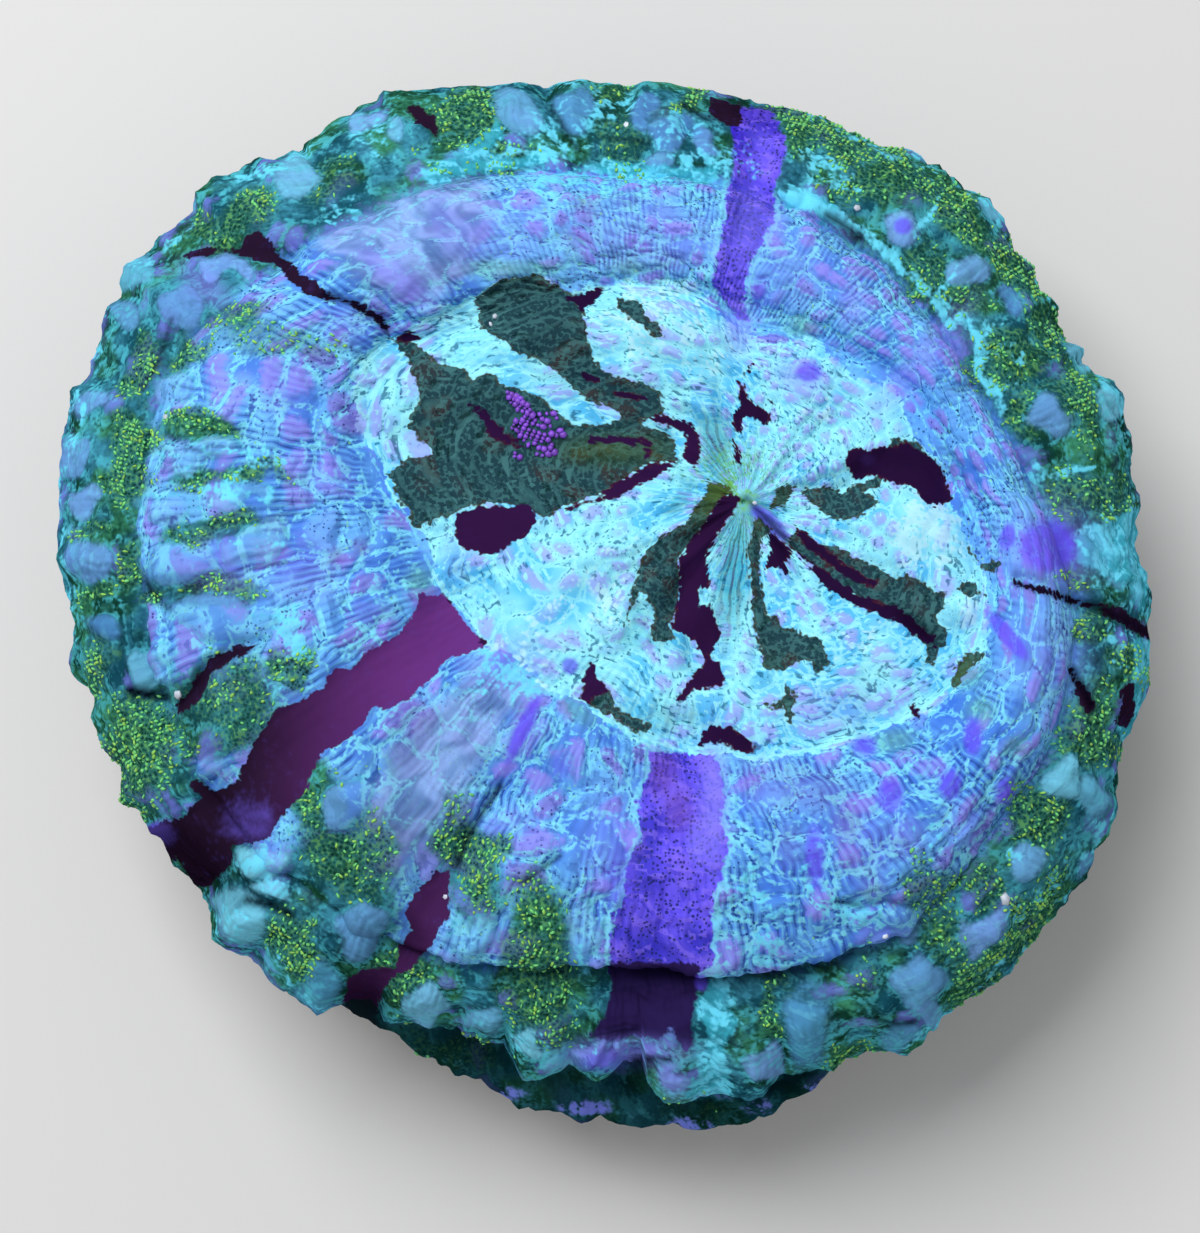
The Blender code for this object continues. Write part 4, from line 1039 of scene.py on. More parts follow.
# Places inside the ring where the flesh is slate like the skirt
SLATE_AREAS = (
    (-39, -10.5, 6.5, 5.5, 20, 0.9), (-29, -19, 3, 5, 20, 0.9), (-27, -29, 6, 7.5, 20, 1),
    (-13.5, -27, 3.6, 6, 20, 0.8), (-6.5, -33, 3.6, 6, 0, 0.8), (-38, 37.5, 5, 3, 40, 0.9),
    (-44, 26, 3, 3.6, 0, 0.9), (-36.5, 29, 2.4, 2, 0, 0.7), (-40.5, 1.6, 6.5, 1.7, -5, 0.9),
    (-39.5, 7.6, 6, 1.2, 8, 0.9), (-41, 17.8, 4.6, 1.6, 0, 0.9), (-38.5, 13, 6, 0.9, 5, 0.85),
    (-33, -6, 2, 1.4, 20, 0.6), (24.5, 37.5, 2.6, 1.2, -38, 0.6),
)

# Where the flesh is smoothest: x, y, half length, half width, turn and strength
CALM_AREAS = (
    (31, 21, 10, 5, -52, 0.9), (43.5, 4, 4, 5, 0, 1), (42, -6, 4, 6, 20, 0.8), (18, 34, 6, 4, -30, 0.6),
    (-40, 10.4, 5, 1.8, 5, 0.8), (-40, 5, 5, 1.8, 5, 0.8), (-38, -1.5, 6, 2.2, -10, 0.8),
    (-34, 21.5, 8, 3, 0, 0.7), (-6, 37, 6, 3, 0, 0.5), (-7, -1.5, 8, 4, 35, 0.8), (31, 8, 5, 4, 30, 0.7),
    (5, 27, 5, 3.5, 0, 0.5),
)

# Where the flesh is darkest: painted shade in cavities, in low places and where the lamp leaves the flesh
# too bright, over flesh that is in places dark of itself; then the olive tint round the mouth
SHADE_AREAS = (
    (-41, -25.4, 6, 3.4, -35, 0.8), (-26, -33, 6, 6, 0, 0.25), (-21, -24, 6, 6, 0, 0.35),
    (-20, -14, 8, 5, 0, 0.22), (-4, -16.5, 12, 3.5, 0, 0.2), (-50, -6, 4, 5, 0, 0.3),
    (-24, -40, 3, 2.6, 0, 0.9), (-20, -33, 2, 3.6, 20, 0.6), (3.4, -45.4, 1.2, 0.9, 0, 0.8),
    (-38.5, -20, 3, 2, -30, 0.3), (31, -1.8, 3, 0.8, -38, 0.7), (15, 50, 3, 1.6, 0, 0.5),
    (18, -48, 1.6, 1.2, 0, 0.8), (-45.6, -8.8, 2.2, 0.8, 0, 0.8),
)
GULLET_TINT = (12.6, 12.0, 4.4, 4.0, 0)

# How far to the right the plum flesh is darkest and palest, and between which places it is pale at all
PLUM_DARKEST, PLUM_PALEST, PLUM_END = -38.0, -16.0, 15.0
PLUM_FRONT, PLUM_BACK = -27.0, 25.0

# Strips of teal flesh between the dark ones near the mouth
TEAL_STRIPS = (
    (12.9, 4, 6.8, 1.7, 84, 1), (11, 16, 3.6, 1.5, 100, 0.9), (7.5, 10.6, 2.4, 0.8, 50, 0.6),
    (14.6, 9.8, 2.2, 2.2, 0, 0.8), (3.2, -1, 1, 2.6, 20, 0.5), (4, -3.2, 4, 1.2, 0, 0.5),
    (6, -11, 5, 1.6, 0, 0.4), (13.4, 13.4, 1.6, 2, 0, 0.5),
)

# Bright patches, mostly the flesh's own pale colour, in places painted light on lump tops and on faces
# turned from the lamp: x, y, half length, half width, turn and strength
ICE_PATCHES = (
    (32.5, 8, 4.6, 4.2, 30, 1), (5, 28.5, 6, 3.8, 0, 0.8), (36, -0.5, 2.4, 2.2, 0, 0.7),
    (10, 25.2, 4.6, 2.6, 0, 0.5), (-2, 0, 6, 5, 30, 0.5), (26, -4, 5, 4, 0, 0.4),
    (-31, -2.6, 2.2, 3, 0, 0.9), (-34.5, 14.5, 2.4, 1.8, 0, 0.8), (-32, -7.5, 2.6, 1.6, 20, 0.7),
    (24.5, -30.5, 3.2, 1.6, 0, 0.8), (17.5, -31, 2, 2.2, 0, 0.6), (-27, 39, 1.4, 1.2, 0, 0.7),
    (-16.5, -1.8, 2.4, 2.4, 0, 0.3), (-7.5, -43.6, 1.8, 1.3, 0, 0.8), (8.6, -52.2, 2.2, 1.2, 0, 1),
    (-2, -50.2, 3, 0.8, 0, 0.9), (15.4, -50.2, 1.6, 0.9, 0, 0.7), (21, -48.2, 1.8, 0.9, 20, 0.7),
    (-10, -48.8, 2.4, 0.8, 0, 0.7), (-1.8, -44.4, 1.6, 0.9, 0, 0.4), (2.4, -44.1, 1.1, 0.8, 0, 0.4),
    (6.2, -44.8, 1, 0.8, 0, 0.4), (6.8, -47.6, 1, 1.4, 20, 0.4), (-34.5, -25.6, 3, 1.4, 12, 0.9),
    (-33, -28.2, 2.4, 1.1, -8, 0.9), (-37.6, -31.6, 2.4, 2.2, 0, 0.6), (22, 19, 3, 2.6, 0, 0.5),
    (1.5, 6, 3, 2.4, 20, 0.4), (41, -24.8, 0.9, 0.8, 0, 0.8), (-5, 46.6, 5, 2, 0, 0.6),
    (8, 45, 3, 1.6, 0, 0.6), (14.6, -29, 2, 5, 0, 0.55), (12, -41.5, 1.6, 4.6, 8, 0.7),
    (11.2, -46.5, 2, 3, 10, 0.7), (-24, 39, 1.4, 5, 30, 0.5), (49.5, 3, 2, 2, 0, 0.4),
    (-40, 13.5, 4, 1.2, 5, 0.4), (0, 42.6, 10, 1.6, 0, 0.9), (0, 49.5, 7, 2, 0, 0.7),
    (7, 47.5, 3, 2, 0, 0.8), (22, 43.5, 4, 1.6, -25, 0.8), (12, 44.4, 4, 2, 0, 0.6),
    (41, 25, 2, 2, 0, 0.5), (-23, 46.5, 2.6, 2.4, 0, 0.5), (-9, -6, 4.4, 3.2, 30, 0.85),
    (51.5, -3, 1.6, 6, 0, 0.45), (50.5, 8, 1.6, 3, 0, 0.4), (43, -29, 2, 5, -40, 0.35),
    (17, -33, 3, 3, 0, 0.5), (20, -27, 2.6, 5, 0, 0.35), (33, -24, 3, 4, 20, 0.35),
)

# Bright lines: half width, strength, then the line
ICE_LINES = (
    (
        0.8, 1,
        ((18, 41.5), (22, 39.6), (26, 36.6), (30, 33.5), (34, 29), (37, 26.5), (38, 22), (39.5, 19.5)),
    ),
    (0.5, 0.9, ((20.2, 40.6), (21, 42.6))),
    (0.5, 0.9, ((30.8, 37), (32.2, 39.6), (33.2, 40.4))),
    (0.5, 0.8, ((33, 31), (35.4, 33.4))),
    (0.5, 0.8, ((36.4, 27), (39.4, 28.8))),
    (0.5, 0.8, ((38.4, 21.8), (41.6, 21.6))),
    (0.6, 0.9, ((42.5, 13.3), (45.4, 13), (48.6, 14.2))),
    (0.5, 0.8, ((46.6, 6.3), (49.5, 5.2), (53.5, 5))),
    (0.6, 0.9, ((-17, 43), (-14, 44.6), (-12, 45.4), (-8, 44.6), (-5, 44.5))),
    (0.5, 0.8, ((0, 44), (4, 43.3), (8, 43.2), (12, 42.5))),
    (0.6, 0.8, ((-6.4, 47.2), (-3.6, 44.6))),
    (0.5, 0.9, ((-44.5, 15), (-40, 15.6), (-35.5, 15))),
    (0.5, 0.8, ((-41, 11.4), (-37, 11.8), (-32.5, 11.2))),
    (0.5, 0.7, ((-38.5, 6.2), (-35, 6.4), (-31.5, 6))),
    (0.6, 0.8, ((-2.2, -34.2), (-2, -36.8))),
    (0.8, 0.8, ((12.2, -37.2), (11, -40.6), (11.6, -44), (10, -48.6))),
    (0.6, 0.8, ((8, -51.8), (9, -53), (11, -52.4))),
    (0.5, 0.6, ((-20, -44.6), (-15, -45.8), (-10, -49.2), (-4, -49.8), (2, -50.8), (8, -51.5))),
    (0.5, 0.5, ((11, -52), (15, -50.6), (20, -49.4), (24, -46))),
    (0.6, 0.7, ((14, -35.6), (18, -35), (23, -34), (29, -34))),
    (0.6, 0.6, ((-50, 26.6), (-52.6, 21.5), (-54, 16), (-54.6, 10), (-54, 4), (-53.4, -4))),
    (0.6, 0.7, ((-47.4, 33.6), (-45, 34.9), (-43.8, 36.6), (-41.2, 38.6))),
    (0.6, 0.7, ((-36.6, 42.6), (-33, 44.2), (-30, 45.8))),
    (0.6, 0.7, ((-12, 52.2), (-6, 52.5), (0, 53), (5.5, 53), (9, 52))),
    (0.6, 0.8, ((48, 25.6), (50.4, 22.6), (51.8, 20.6), (52.4, 17))),
    (0.6, 0.7, ((53.2, 11), (53, 6), (53.9, 1), (54.2, -5), (53, -11.5))),
    (0.5, 0.6, ((20, 49.2), (28, 46), (34, 43), (38.6, 40.4), (41.4, 35), (45, 29.5))),
    (0.5, 0.6, ((-36.5, -30), (-34.5, -33.8), (-30.5, -38.6), (-27, -41))),
    (0.5, 0.6, ((50.8, -20), (49, -24.6), (46.4, -29), (42, -35), (35.4, -40), (30, -44.4))),
)

OLIVE_PATCHES = (
    (-10, 33.8, 5, 0.9, 0, 0.9), (2.5, 33.9, 1.8, 0.8, 0, 0.8), (19.5, 27.8, 1.6, 1.2, 0, 0.8),
    (-18.5, 2.6, 1.5, 1.4, 0, 0.8), (29, -13.5, 2.2, 1.3, 10, 0.8), (37.5, -10.5, 1.6, 1.5, 0, 0.8),
    (41, -14, 1.2, 1.1, 0, 0.7), (36, -6.6, 2.2, 1.8, 0, 0.9), (-18, 42.5, 1.4, 1.2, 0, 0.8),
    (-21.4, 45, 1.6, 1, -40, 0.8), (-2.6, -10.6, 2.2, 1, -35, 0.7), (1, 15.6, 6, 1.6, 0, 0.7),
    (15.2, 13.2, 2.2, 1.6, 0, 0.5), (-2.8, 35, 1, 1, 0, 0.4), (16.2, -9, 2.6, 4, 0, 0.25),
)

PATCHES = {
    "green": GREEN_PATCHES, "maroon": MAROON_PATCHES, "violet": VIOLET_BANDS, "night": NIGHT_PATCHES,
    "silk": SILK_FOLDS, "aqua": AQUA_SHEETS,
}
SPOTS = {
    "lilac_spots": LILAC_SPOTS, "violet_spots": VIOLET_SPOTS, "mauve_spots": MAUVE_SPOTS,
    "olive": OLIVE_PATCHES, "ice": ICE_PATCHES, "teal": TEAL_STRIPS, "dusk": DUSK_AREAS,
    "shade": SHADE_AREAS,
}

# How wide the painted shade is beside its cleft, and how densely crumbs lie below the lip
CLEFT_SHADE_SHARE = 0.7
CRUMBS_BELOW = 0.6

# By how coarse a noise the bright lines, the crumb beds and the knobs wander, and how far
LINE_WANDER = (1.8, 1.8)
BED_WANDER = (2.4, 3.2)
KNOB_WANDER = (2.2, 2.4)

# The noises in the flesh: the share, the size and the seed of each layer
NOISES = {
    "fray": ((0.45, 1.4, 71), (0.25, 0.8, 72)),
    "cloud": ((0.7, 3.4, 73), (0.3, 1.7, 74)),
    "sway": ((0.45, 2.6, 75), (0.25, 1.0, 76)),
    "drift": ((1.0, 3.2, 77), (0.3, 1.2, 78)),
}

# From which tint on most, some or few of the lobes are marked, and over what step
LOBE_LOTS = {"most": (0.15, 0.25), "some": (0.30, 0.30), "few": (0.70, 0.15)}


# ---------------- what each point of the skin knows

def soft_spots(plan, spots):
    """The strongest of several soft oval spots at each place."""
    found = np.zeros(len(plan))
    for x, y, long, short, turn, strength in spots:
        away = across_oval(plan, x, y, long, short, turn)
        found = np.maximum(found, strength * np.exp(-0.9 * away**3))
    return found


def wandered(plan, size, reach):
    """Places shifted a little by noise, so that what is drawn on them has no straight edge."""
    level = np.column_stack([plan, np.zeros(len(plan))])
    return plan + reach * (np.column_stack([drift(level, size, 81), drift(level, size, 82)]) - 0.5)


def soft_lines(plan, lines):
    """The strongest of several soft lines at each place."""
    found = np.zeros(len(plan))
    for half_width, strength, line in lines:
        found = np.maximum(found, strength * np.exp(-((near_line(plan, line) / half_width) ** 2)))
    return found


def crumb_beds(plan):
    """How densely crumbs lie at each place."""
    found = np.zeros(len(plan))
    for x, y, long, short, turn, density in CRUMB_BEDS:
        away = across_oval(plan, x, y, long, short, turn)
        found = np.maximum(found, density * eased((1.35 - away) / 0.7))
    return found


def marking_facts(plan, upper):
    """The masks that are drawn in the plan. They hold on the upper side, with one value below it."""
    places = plan[upper]
    # Painted shade along each cleft
    cleft_shade = [(CLEFT_SHADE_SHARE * half_width, dark, line) for _, half_width, dark, line in CLEFTS]
    drawn = {"disc": inside_outline(places, ORAL_DISC)}
    drawn.update({name: inside_any(places, outlines) for name, outlines in PATCHES.items()})
    drawn.update({name: soft_spots(places, spots) for name, spots in SPOTS.items()})
    drawn["gleam"] = soft_lines(wandered(places, *LINE_WANDER), ICE_LINES)
    drawn["crumbs"] = crumb_beds(wandered(places, *BED_WANDER))
    drawn["cleft_shade"] = soft_lines(places, cleft_shade)
    below = {"crumbs": CRUMBS_BELOW, "disc": -EDGE_REACH, **dict.fromkeys(PATCHES, -EDGE_REACH)}
    facts = {name: np.full(len(plan), below.get(name, 0.0)) for name in drawn}
    for name, values in drawn.items():
        facts[name][upper] = values
    return facts


def noise_facts(skin):
    """The noises that fray, cloud and sway what is drawn on the flesh."""
    facts = {
        name: sum(share * drift(skin.form, size, seed) for share, size, seed in layers)
        for name, layers in NOISES.items()
    }
    facts["fray"] += 0.45 * skin.lobe["scale"]
    facts["sway"] += 0.35 * skin.lobe["lobe"]
    return facts


def knob_facts(skin):
    """Where the flesh is smooth knob, and how lilac and how pale it is there."""
    cover, lilac, pale, _ = knob_shares(skin.plan)
    on_top = window(skin.level, DISC_GROOVE, DISC_GROOVE + 1.0, TUCK, LOWER_TIER)
    return {"knobs": cover * on_top, "knob_lilac": lilac, "knob_pale": pale}


def band_facts(skin, slate):
    """How far out on the skirt each place is, and where the rim, the lower tier and the stone are."""
    past_crease = skin.path - skin.path[np.searchsorted(skin.level, CREASE)]
    return {
        "skirt": np.maximum(past_crease, 6 * slate - 2.5),
        "rim": window(skin.level, RIM - 1.4, RIM - 0.5, TUCK - 0.3, TUCK + 0.3),
        "tier": window(skin.level, TUCK - 0.3, LOWER_TIER - 0.5, LIP, LIP + 0.4),
        "stone": eased((skin.level - LIP - 0.3) / 0.5),
    }


def wrinkle_share(skin, facts, calm):
    """How deeply the flesh is wrinkled: not on the disc, on maroon flesh or in the crease."""
    share = eased((facts["drift"] - 0.35) / 0.45) * (0.35 + 0.65 * eased(skin.lobe["lobe"] / 0.6))
    share *= (1 - eased(facts["maroon"] + 0.6)) * (skin.level > DISC_GROOVE)
    share *= 1 - 0.8 * np.maximum(facts["violet_spots"], calm)
    share *= eased(np.minimum(skin.level - DISC_GROOVE, np.abs(skin.level - CREASE)) / 0.25)
    return share


def plum_paleness(plan):
    """How pale the plum flesh is: only left of the disc, and less towards the rim and the front."""
    pale = eased((plan[:, 0] - PLUM_DARKEST) / (PLUM_PALEST - PLUM_DARKEST))
    pale *= 0.35 + 0.65 * eased((plan[:, 1] - PLUM_FRONT) / 5)
    pale *= eased((PLUM_END - plan[:, 0]) / 10) * eased((PLUM_BACK - plan[:, 1]) / 10)
    return pale


def skin_facts(skin):
    """The masks that the skin's material reads, one value for each point."""
    plan = skin.plan
    upper = skin.level < LIP
    calm = soft_spots(plan, CALM_AREAS) * upper
    slate = soft_spots(plan, SLATE_AREAS) * upper
    facts = marking_facts(plan, upper)
    for known in (knob_facts(skin), band_facts(skin, slate), skin.lobe, noise_facts(skin)):
        facts.update(known)
    facts["lean"] = facts["lean"] * (1 - 0.85 * calm)
    facts["ice"] *= (skin.level < TUCK) | (plan[:, 1] < PLUM_FRONT)
    facts["gullet"] = np.exp(-(across_oval(plan, *GULLET_TINT) ** 2)) * upper
    facts["wrinkle"] = wrinkle_share(skin, facts, calm)
    facts["dawn"] = plum_paleness(plan)
    # Painted shadow along the front crease, under the overhang of the ring, joined with the painted shade
    # of the clefts
    under = window(skin.level, CREASE - 0.3, CREASE, CREASE + 0.65, CREASE + 1.1)
    facts["cleft_shade"] = np.maximum(facts["cleft_shade"], 0.8 * under * facing(skin.angle, 288, 44))
    for name, (least, step) in LOBE_LOTS.items():
        facts[name] = eased((facts["tint"] - least) / step)
    return facts


# ---------------- colours

def paint(red, green, blue):
    """A colour written as it should look, 0 to 255, as the linear values that a shader takes."""
    shares = [value / 255 for value in (red, green, blue)]
    linear = [
        share / 12.92 if share <= 0.04045 else ((share + 0.055) / 1.055) ** 2.4 for share in shares
    ]
    return (*linear, 1.0)


RING_BLUE = paint(78, 132, 226)
RING_SKY = paint(112, 188, 255)
RING_DUSK = paint(60, 116, 224)
RING_LILAC = paint(146, 144, 250)
RING_MAUVE = paint(112, 118, 204)
# Painted shade for the seams between lobes and the near sides of the scales
RING_SEAM_SHADE = paint(30, 62, 150)
# Painted shade in the grooves of the wrinkles
WRINKLE_SHADE = paint(26, 60, 140)
# Pale cyan for bright walls, lines and outlines, and for painted highlight on wrinkle crests and on the
# far sides of scales
BEAD = paint(132, 230, 255)
FLECK = paint(140, 220, 110)
ICE = paint(110, 224, 255)
ICE_WHITE = paint(188, 240, 255)
DISC_PALE = paint(140, 230, 255)
DISC_SKY = paint(86, 192, 246)
DISC_LILAC = paint(160, 174, 255)
# Pale cyan for the walls of the disc's lobes, and for painted highlight on the far sides of its scales
DISC_EDGE = paint(160, 246, 255)
# Painted shade for the seams and the near sides of the disc's scales
DISC_SEAM_SHADE = paint(10, 84, 124)
DISC_TEAL = paint(60, 166, 190)
DISC_TEAL_LINE = paint(8, 58, 82)
DISC_OLIVE = paint(112, 186, 100)
PORE = paint(10, 26, 84)
NET_DARK = paint(34, 66, 76)
NET_LIGHT = paint(76, 130, 132)
NET_BROWN = paint(54, 56, 60)
NET_EDGE = paint(66, 66, 48)
NET_OLIVE = paint(78, 108, 52)
MAROON = paint(38, 16, 54)
MAROON_EDGE = paint(70, 30, 46)
PLUM_DARK = paint(38, 22, 44)
PLUM_PALE = paint(104, 50, 126)
PLUM_VIOLET = paint(92, 76, 178)
VIOLET = paint(104, 78, 244)
VIOLET_DEEP = paint(62, 40, 202)
VIOLET_DOT = paint(22, 8, 98)
VIOLET_PINK = paint(138, 108, 255)
VIOLET_DUSK = paint(42, 30, 80)
PINK = paint(142, 136, 255)
MAUVE = paint(114, 76, 170)
AQUA = paint(58, 172, 196)
SLATE = paint(22, 78, 96)
SLATE_PALE = paint(60, 138, 164)
MOSS = paint(18, 62, 50)
MOSS_PALE = paint(60, 138, 106)
TURQUOISE = paint(84, 196, 214)
CRUMB = paint(110, 180, 100)
CRUMB_SHADE = paint(4, 32, 26)
BED = paint(44, 102, 84)
KNOB_TEAL = paint(52, 128, 186)
KNOB_LILAC = paint(122, 132, 240)
KNOB_PALE = paint(132, 222, 250)
KNOB_SHADE = paint(50, 100, 126)
KNOB_EDGE = paint(80, 190, 214)
SILK_DARK = paint(92, 122, 176)
SILK_LIGHT = paint(146, 176, 240)
OLIVE = paint(104, 184, 120)
# Painted shade in the clefts and under the front crease
CLEFT_SHADE = paint(6, 6, 24)
STONE = paint(196, 186, 166)
STONE_DARK = paint(112, 104, 96)
# Painted shade on the lower tier, under the rim
UNDERSIDE_SHADE = paint(4, 34, 36)
BLACK = paint(0, 0, 0)


class Wiring:
    """Adds nodes to a shader tree and joins them. An operand is a socket or a plain value."""

    def __init__(self, tree):
        self.tree = tree

    def add(self, kind, **settings):
        """A new node with these settings."""
        node = self.tree.nodes.new(kind)
        for name, value in settings.items():
            setattr(node, name, value)
        return node

    def feed(self, socket, value):
        """Joins an input to another node's output, or sets it to a plain value."""
        if isinstance(value, bpy.types.NodeSocket):
            self.tree.links.new(value, socket)
        else:
            socket.default_value = value

    def fed(self, kind, operands, **settings):
        """A new node with its first inputs fed in order."""
        node = self.add(kind, **settings)
        for socket, value in zip(node.inputs, operands):
            self.feed(socket, value)
        return node

    def math(self, operation, *operands, clamp=False):
        """The result of one sum."""
        return self.fed("ShaderNodeMath", operands, operation=operation, use_clamp=clamp).outputs[0]

    def times(self, result, *factors):
        """The product of masks and shares."""
        for factor in factors:
            result = self.math("MULTIPLY", result, factor)
        return result

    def plus(self, base, value, factor):
        """A base with a share of another value added to it."""
        return self.math("MULTIPLY_ADD", value, factor, base)

    def ramp(self, value, low, high, first, last):
        """first at low and below, last at high and above, with a soft start and end."""
        settings = {"interpolation_type": "SMOOTHSTEP", "clamp": True}
        return self.fed("ShaderNodeMapRange", (value, low, high, first, last), **settings).outputs[0]

    def rise(self, value, low, high):
        """0 at low and below, 1 at high and above."""
        return self.ramp(value, low, high, 0.0, 1.0)

    def fall(self, value, low, high):
        """1 at low and below, 0 at high and above."""
        return self.ramp(value, low, high, 1.0, 0.0)

    def blend(self, share, first, second):
        """The first colour with a share of the second over it."""
        node = self.add("ShaderNodeMix", data_type="RGBA", blend_type="MIX", clamp_factor=True)
        for socket, value in ((0, share), (6, first), (7, second)):
            self.feed(node.inputs[socket], value)
        return node.outputs[2]

    def layered(self, colour, *layers):
        """A colour with others laid over it in turn: each its masks and shares, then its colour."""
        for *factors, over in layers:
            colour = self.blend(self.times(*factors), colour, over)
        return colour

    def parts(self, vector):
        """The three numbers of a vector."""
        return self.fed("ShaderNodeSeparateXYZ", (vector,)).outputs

    def noise(self, vector, scale, detail=0.0):
        """Soft noise of a given fineness."""
        node = self.add("ShaderNodeTexNoise")
        for name, value in (("Vector", vector), ("Scale", scale), ("Detail", detail)):
            self.feed(node.inputs[name], value)
        return node.outputs["Fac"]

    def cells(self, vector, scale):
        """Scattered cells: how far each place is from its cell's middle, and the cell's colour."""
        node = self.add("ShaderNodeTexVoronoi")
        for name, value in (("Vector", vector), ("Scale", scale)):
            self.feed(node.inputs[name], value)
        return node.outputs["Distance"], node.outputs["Color"]

    def attribute(self, name):
        """Three numbers that each point of the mesh knows."""
        return self.add("ShaderNodeAttribute", attribute_name=name).outputs["Vector"]

    def place(self):
        """Where each point lies, in millimetres."""
        metres = self.add("ShaderNodeTexCoord").outputs["Object"]
        return self.fed("ShaderNodeVectorMath", (metres, (1 / MM,) * 3), operation="MULTIPLY").outputs[0]

    def use(self, group, **values):
        """A node that runs a group with its own values."""
        node = self.add("ShaderNodeGroup", node_tree=group)
        for name, value in values.items():
            self.feed(node.inputs[name], value)
        return node.outputs


def new_group(name, inputs, outputs):
    """A node group with these sockets: its wiring, its inner inputs and its output node."""
    tree = bpy.data.node_groups.new(name, "ShaderNodeTree")
    for label, kind, value in inputs:
        socket = tree.interface.new_socket(label, in_out="INPUT", socket_type=kind)
        if value is not None:
            socket.default_value = value
    for label, kind in outputs:
        tree.interface.new_socket(label, in_out="OUTPUT", socket_type=kind)
    wiring = Wiring(tree)
    return wiring, wiring.add("NodeGroupInput").outputs, wiring.add("NodeGroupOutput").inputs


# The masks that the skin's material reads, three to an attribute
FACTS = (
    "disc", "green", "maroon", "violet", "silk", "lilac_spots", "violet_spots", "mauve_spots",
    "olive", "ice", "teal", "dusk", "crumbs", "cleft_shade", "knobs", "knob_lilac", "knob_pale", "skirt",
    "rim", "stone", "tier", "lobe", "seam", "most", "scale", "lean", "gullet", "gleam", "shade",
    "fray", "cloud", "sway", "drift", "wrinkle", "night", "dawn", "aqua", "some", "few",
)
FLOAT, COLOUR, VECTOR = "NodeSocketFloat", "NodeSocketColor", "NodeSocketVector"

# How finely the small noise and the specks lie, how far the ridges sway and how deep they are
FUZZ_FINENESS = 2.4
SPECK_FINENESS = 2.3
CLOUD_FINENESS = 0.9
SWAY_TURNS = 12.0
DRIFT_TURNS = 7.0
OUTER_RIDGES, OUTER_SPACING = 300.0, 3.1
INNER_RIDGES, INNER_SPACING = 68.0, 1.9
RIDGE_DEPTH = 0.14
RIDGE_STRENGTH = 0.7

# How rough the flesh and the grains are, and how dark a grain is where it is darkest
FLESH_ROUGHNESS = 0.5
GRAIN_SHADE = 0.6


def ragged_edge_group():
    """A mask that is 1 inside a marking, with an edge frayed by noise."""
    wiring, given, out = new_group(
        "ragged_edge",
        (
            ("Depth", FLOAT, 0.0), ("Grow", FLOAT, 0.0), ("Fray", FLOAT, 0.5),
            ("Reach", FLOAT, 1.0), ("Softness", FLOAT, 0.15),
        ),
        (("Mask", FLOAT),),
    )
    shift = wiring.times(wiring.math("SUBTRACT", given["Fray"], 0.5), given["Reach"])
    depth = wiring.math("ADD", wiring.math("ADD", given["Depth"], given["Grow"]), shift)
    low = wiring.times(given["Softness"], -1.0)
    wiring.feed(out["Mask"], wiring.rise(depth, low, given["Softness"]))
    return wiring.tree


def ridged_flesh_group():
    """Wavy ridges along the spokes, and thin lines round the coral."""
    wiring, given, out = new_group(
        "ridged_flesh",
        (
            ("Flesh", VECTOR, None), ("Sway", FLOAT, 0.5), ("Drift", FLOAT, 0.5),
            ("Count", FLOAT, OUTER_RIDGES), ("Spacing", FLOAT, OUTER_SPACING),
        ),
        (("Ridge", FLOAT), ("Line", FLOAT)),
    )
    cosine, sine, path = wiring.parts(given["Flesh"])
    phase = wiring.times(given["Sway"], SWAY_TURNS)
    phase = wiring.math("MULTIPLY_ADD", wiring.math("ARCTAN2", sine, cosine), given["Count"], phase)
    wiring.feed(out["Ridge"], wiring.plus(0.5, wiring.math("COSINE", phase), 0.5))
    rings = wiring.math("DIVIDE", wiring.times(path, 2 * math.pi), given["Spacing"])
    rings = wiring.plus(rings, given["Drift"], DRIFT_TURNS)
    wiring.feed(out["Line"], wiring.rise(wiring.math("COSINE", rings), 0.72, 1.0))
    return wiring.tree


def uneven_tone_group():
    """A colour that is darker in cloudy places."""
    wiring, given, out = new_group(
        "uneven_tone",
        (("Place", VECTOR, None), ("Dark", COLOUR, None), ("Light", COLOUR, None)),
        (("Tone", COLOUR),),
    )
    cloud = wiring.rise(wiring.noise(given["Place"], CLOUD_FINENESS, detail=2.0), 0.3, 0.7)
    wiring.feed(out["Tone"], wiring.blend(cloud, given["Dark"], given["Light"]))
    return wiring.tree


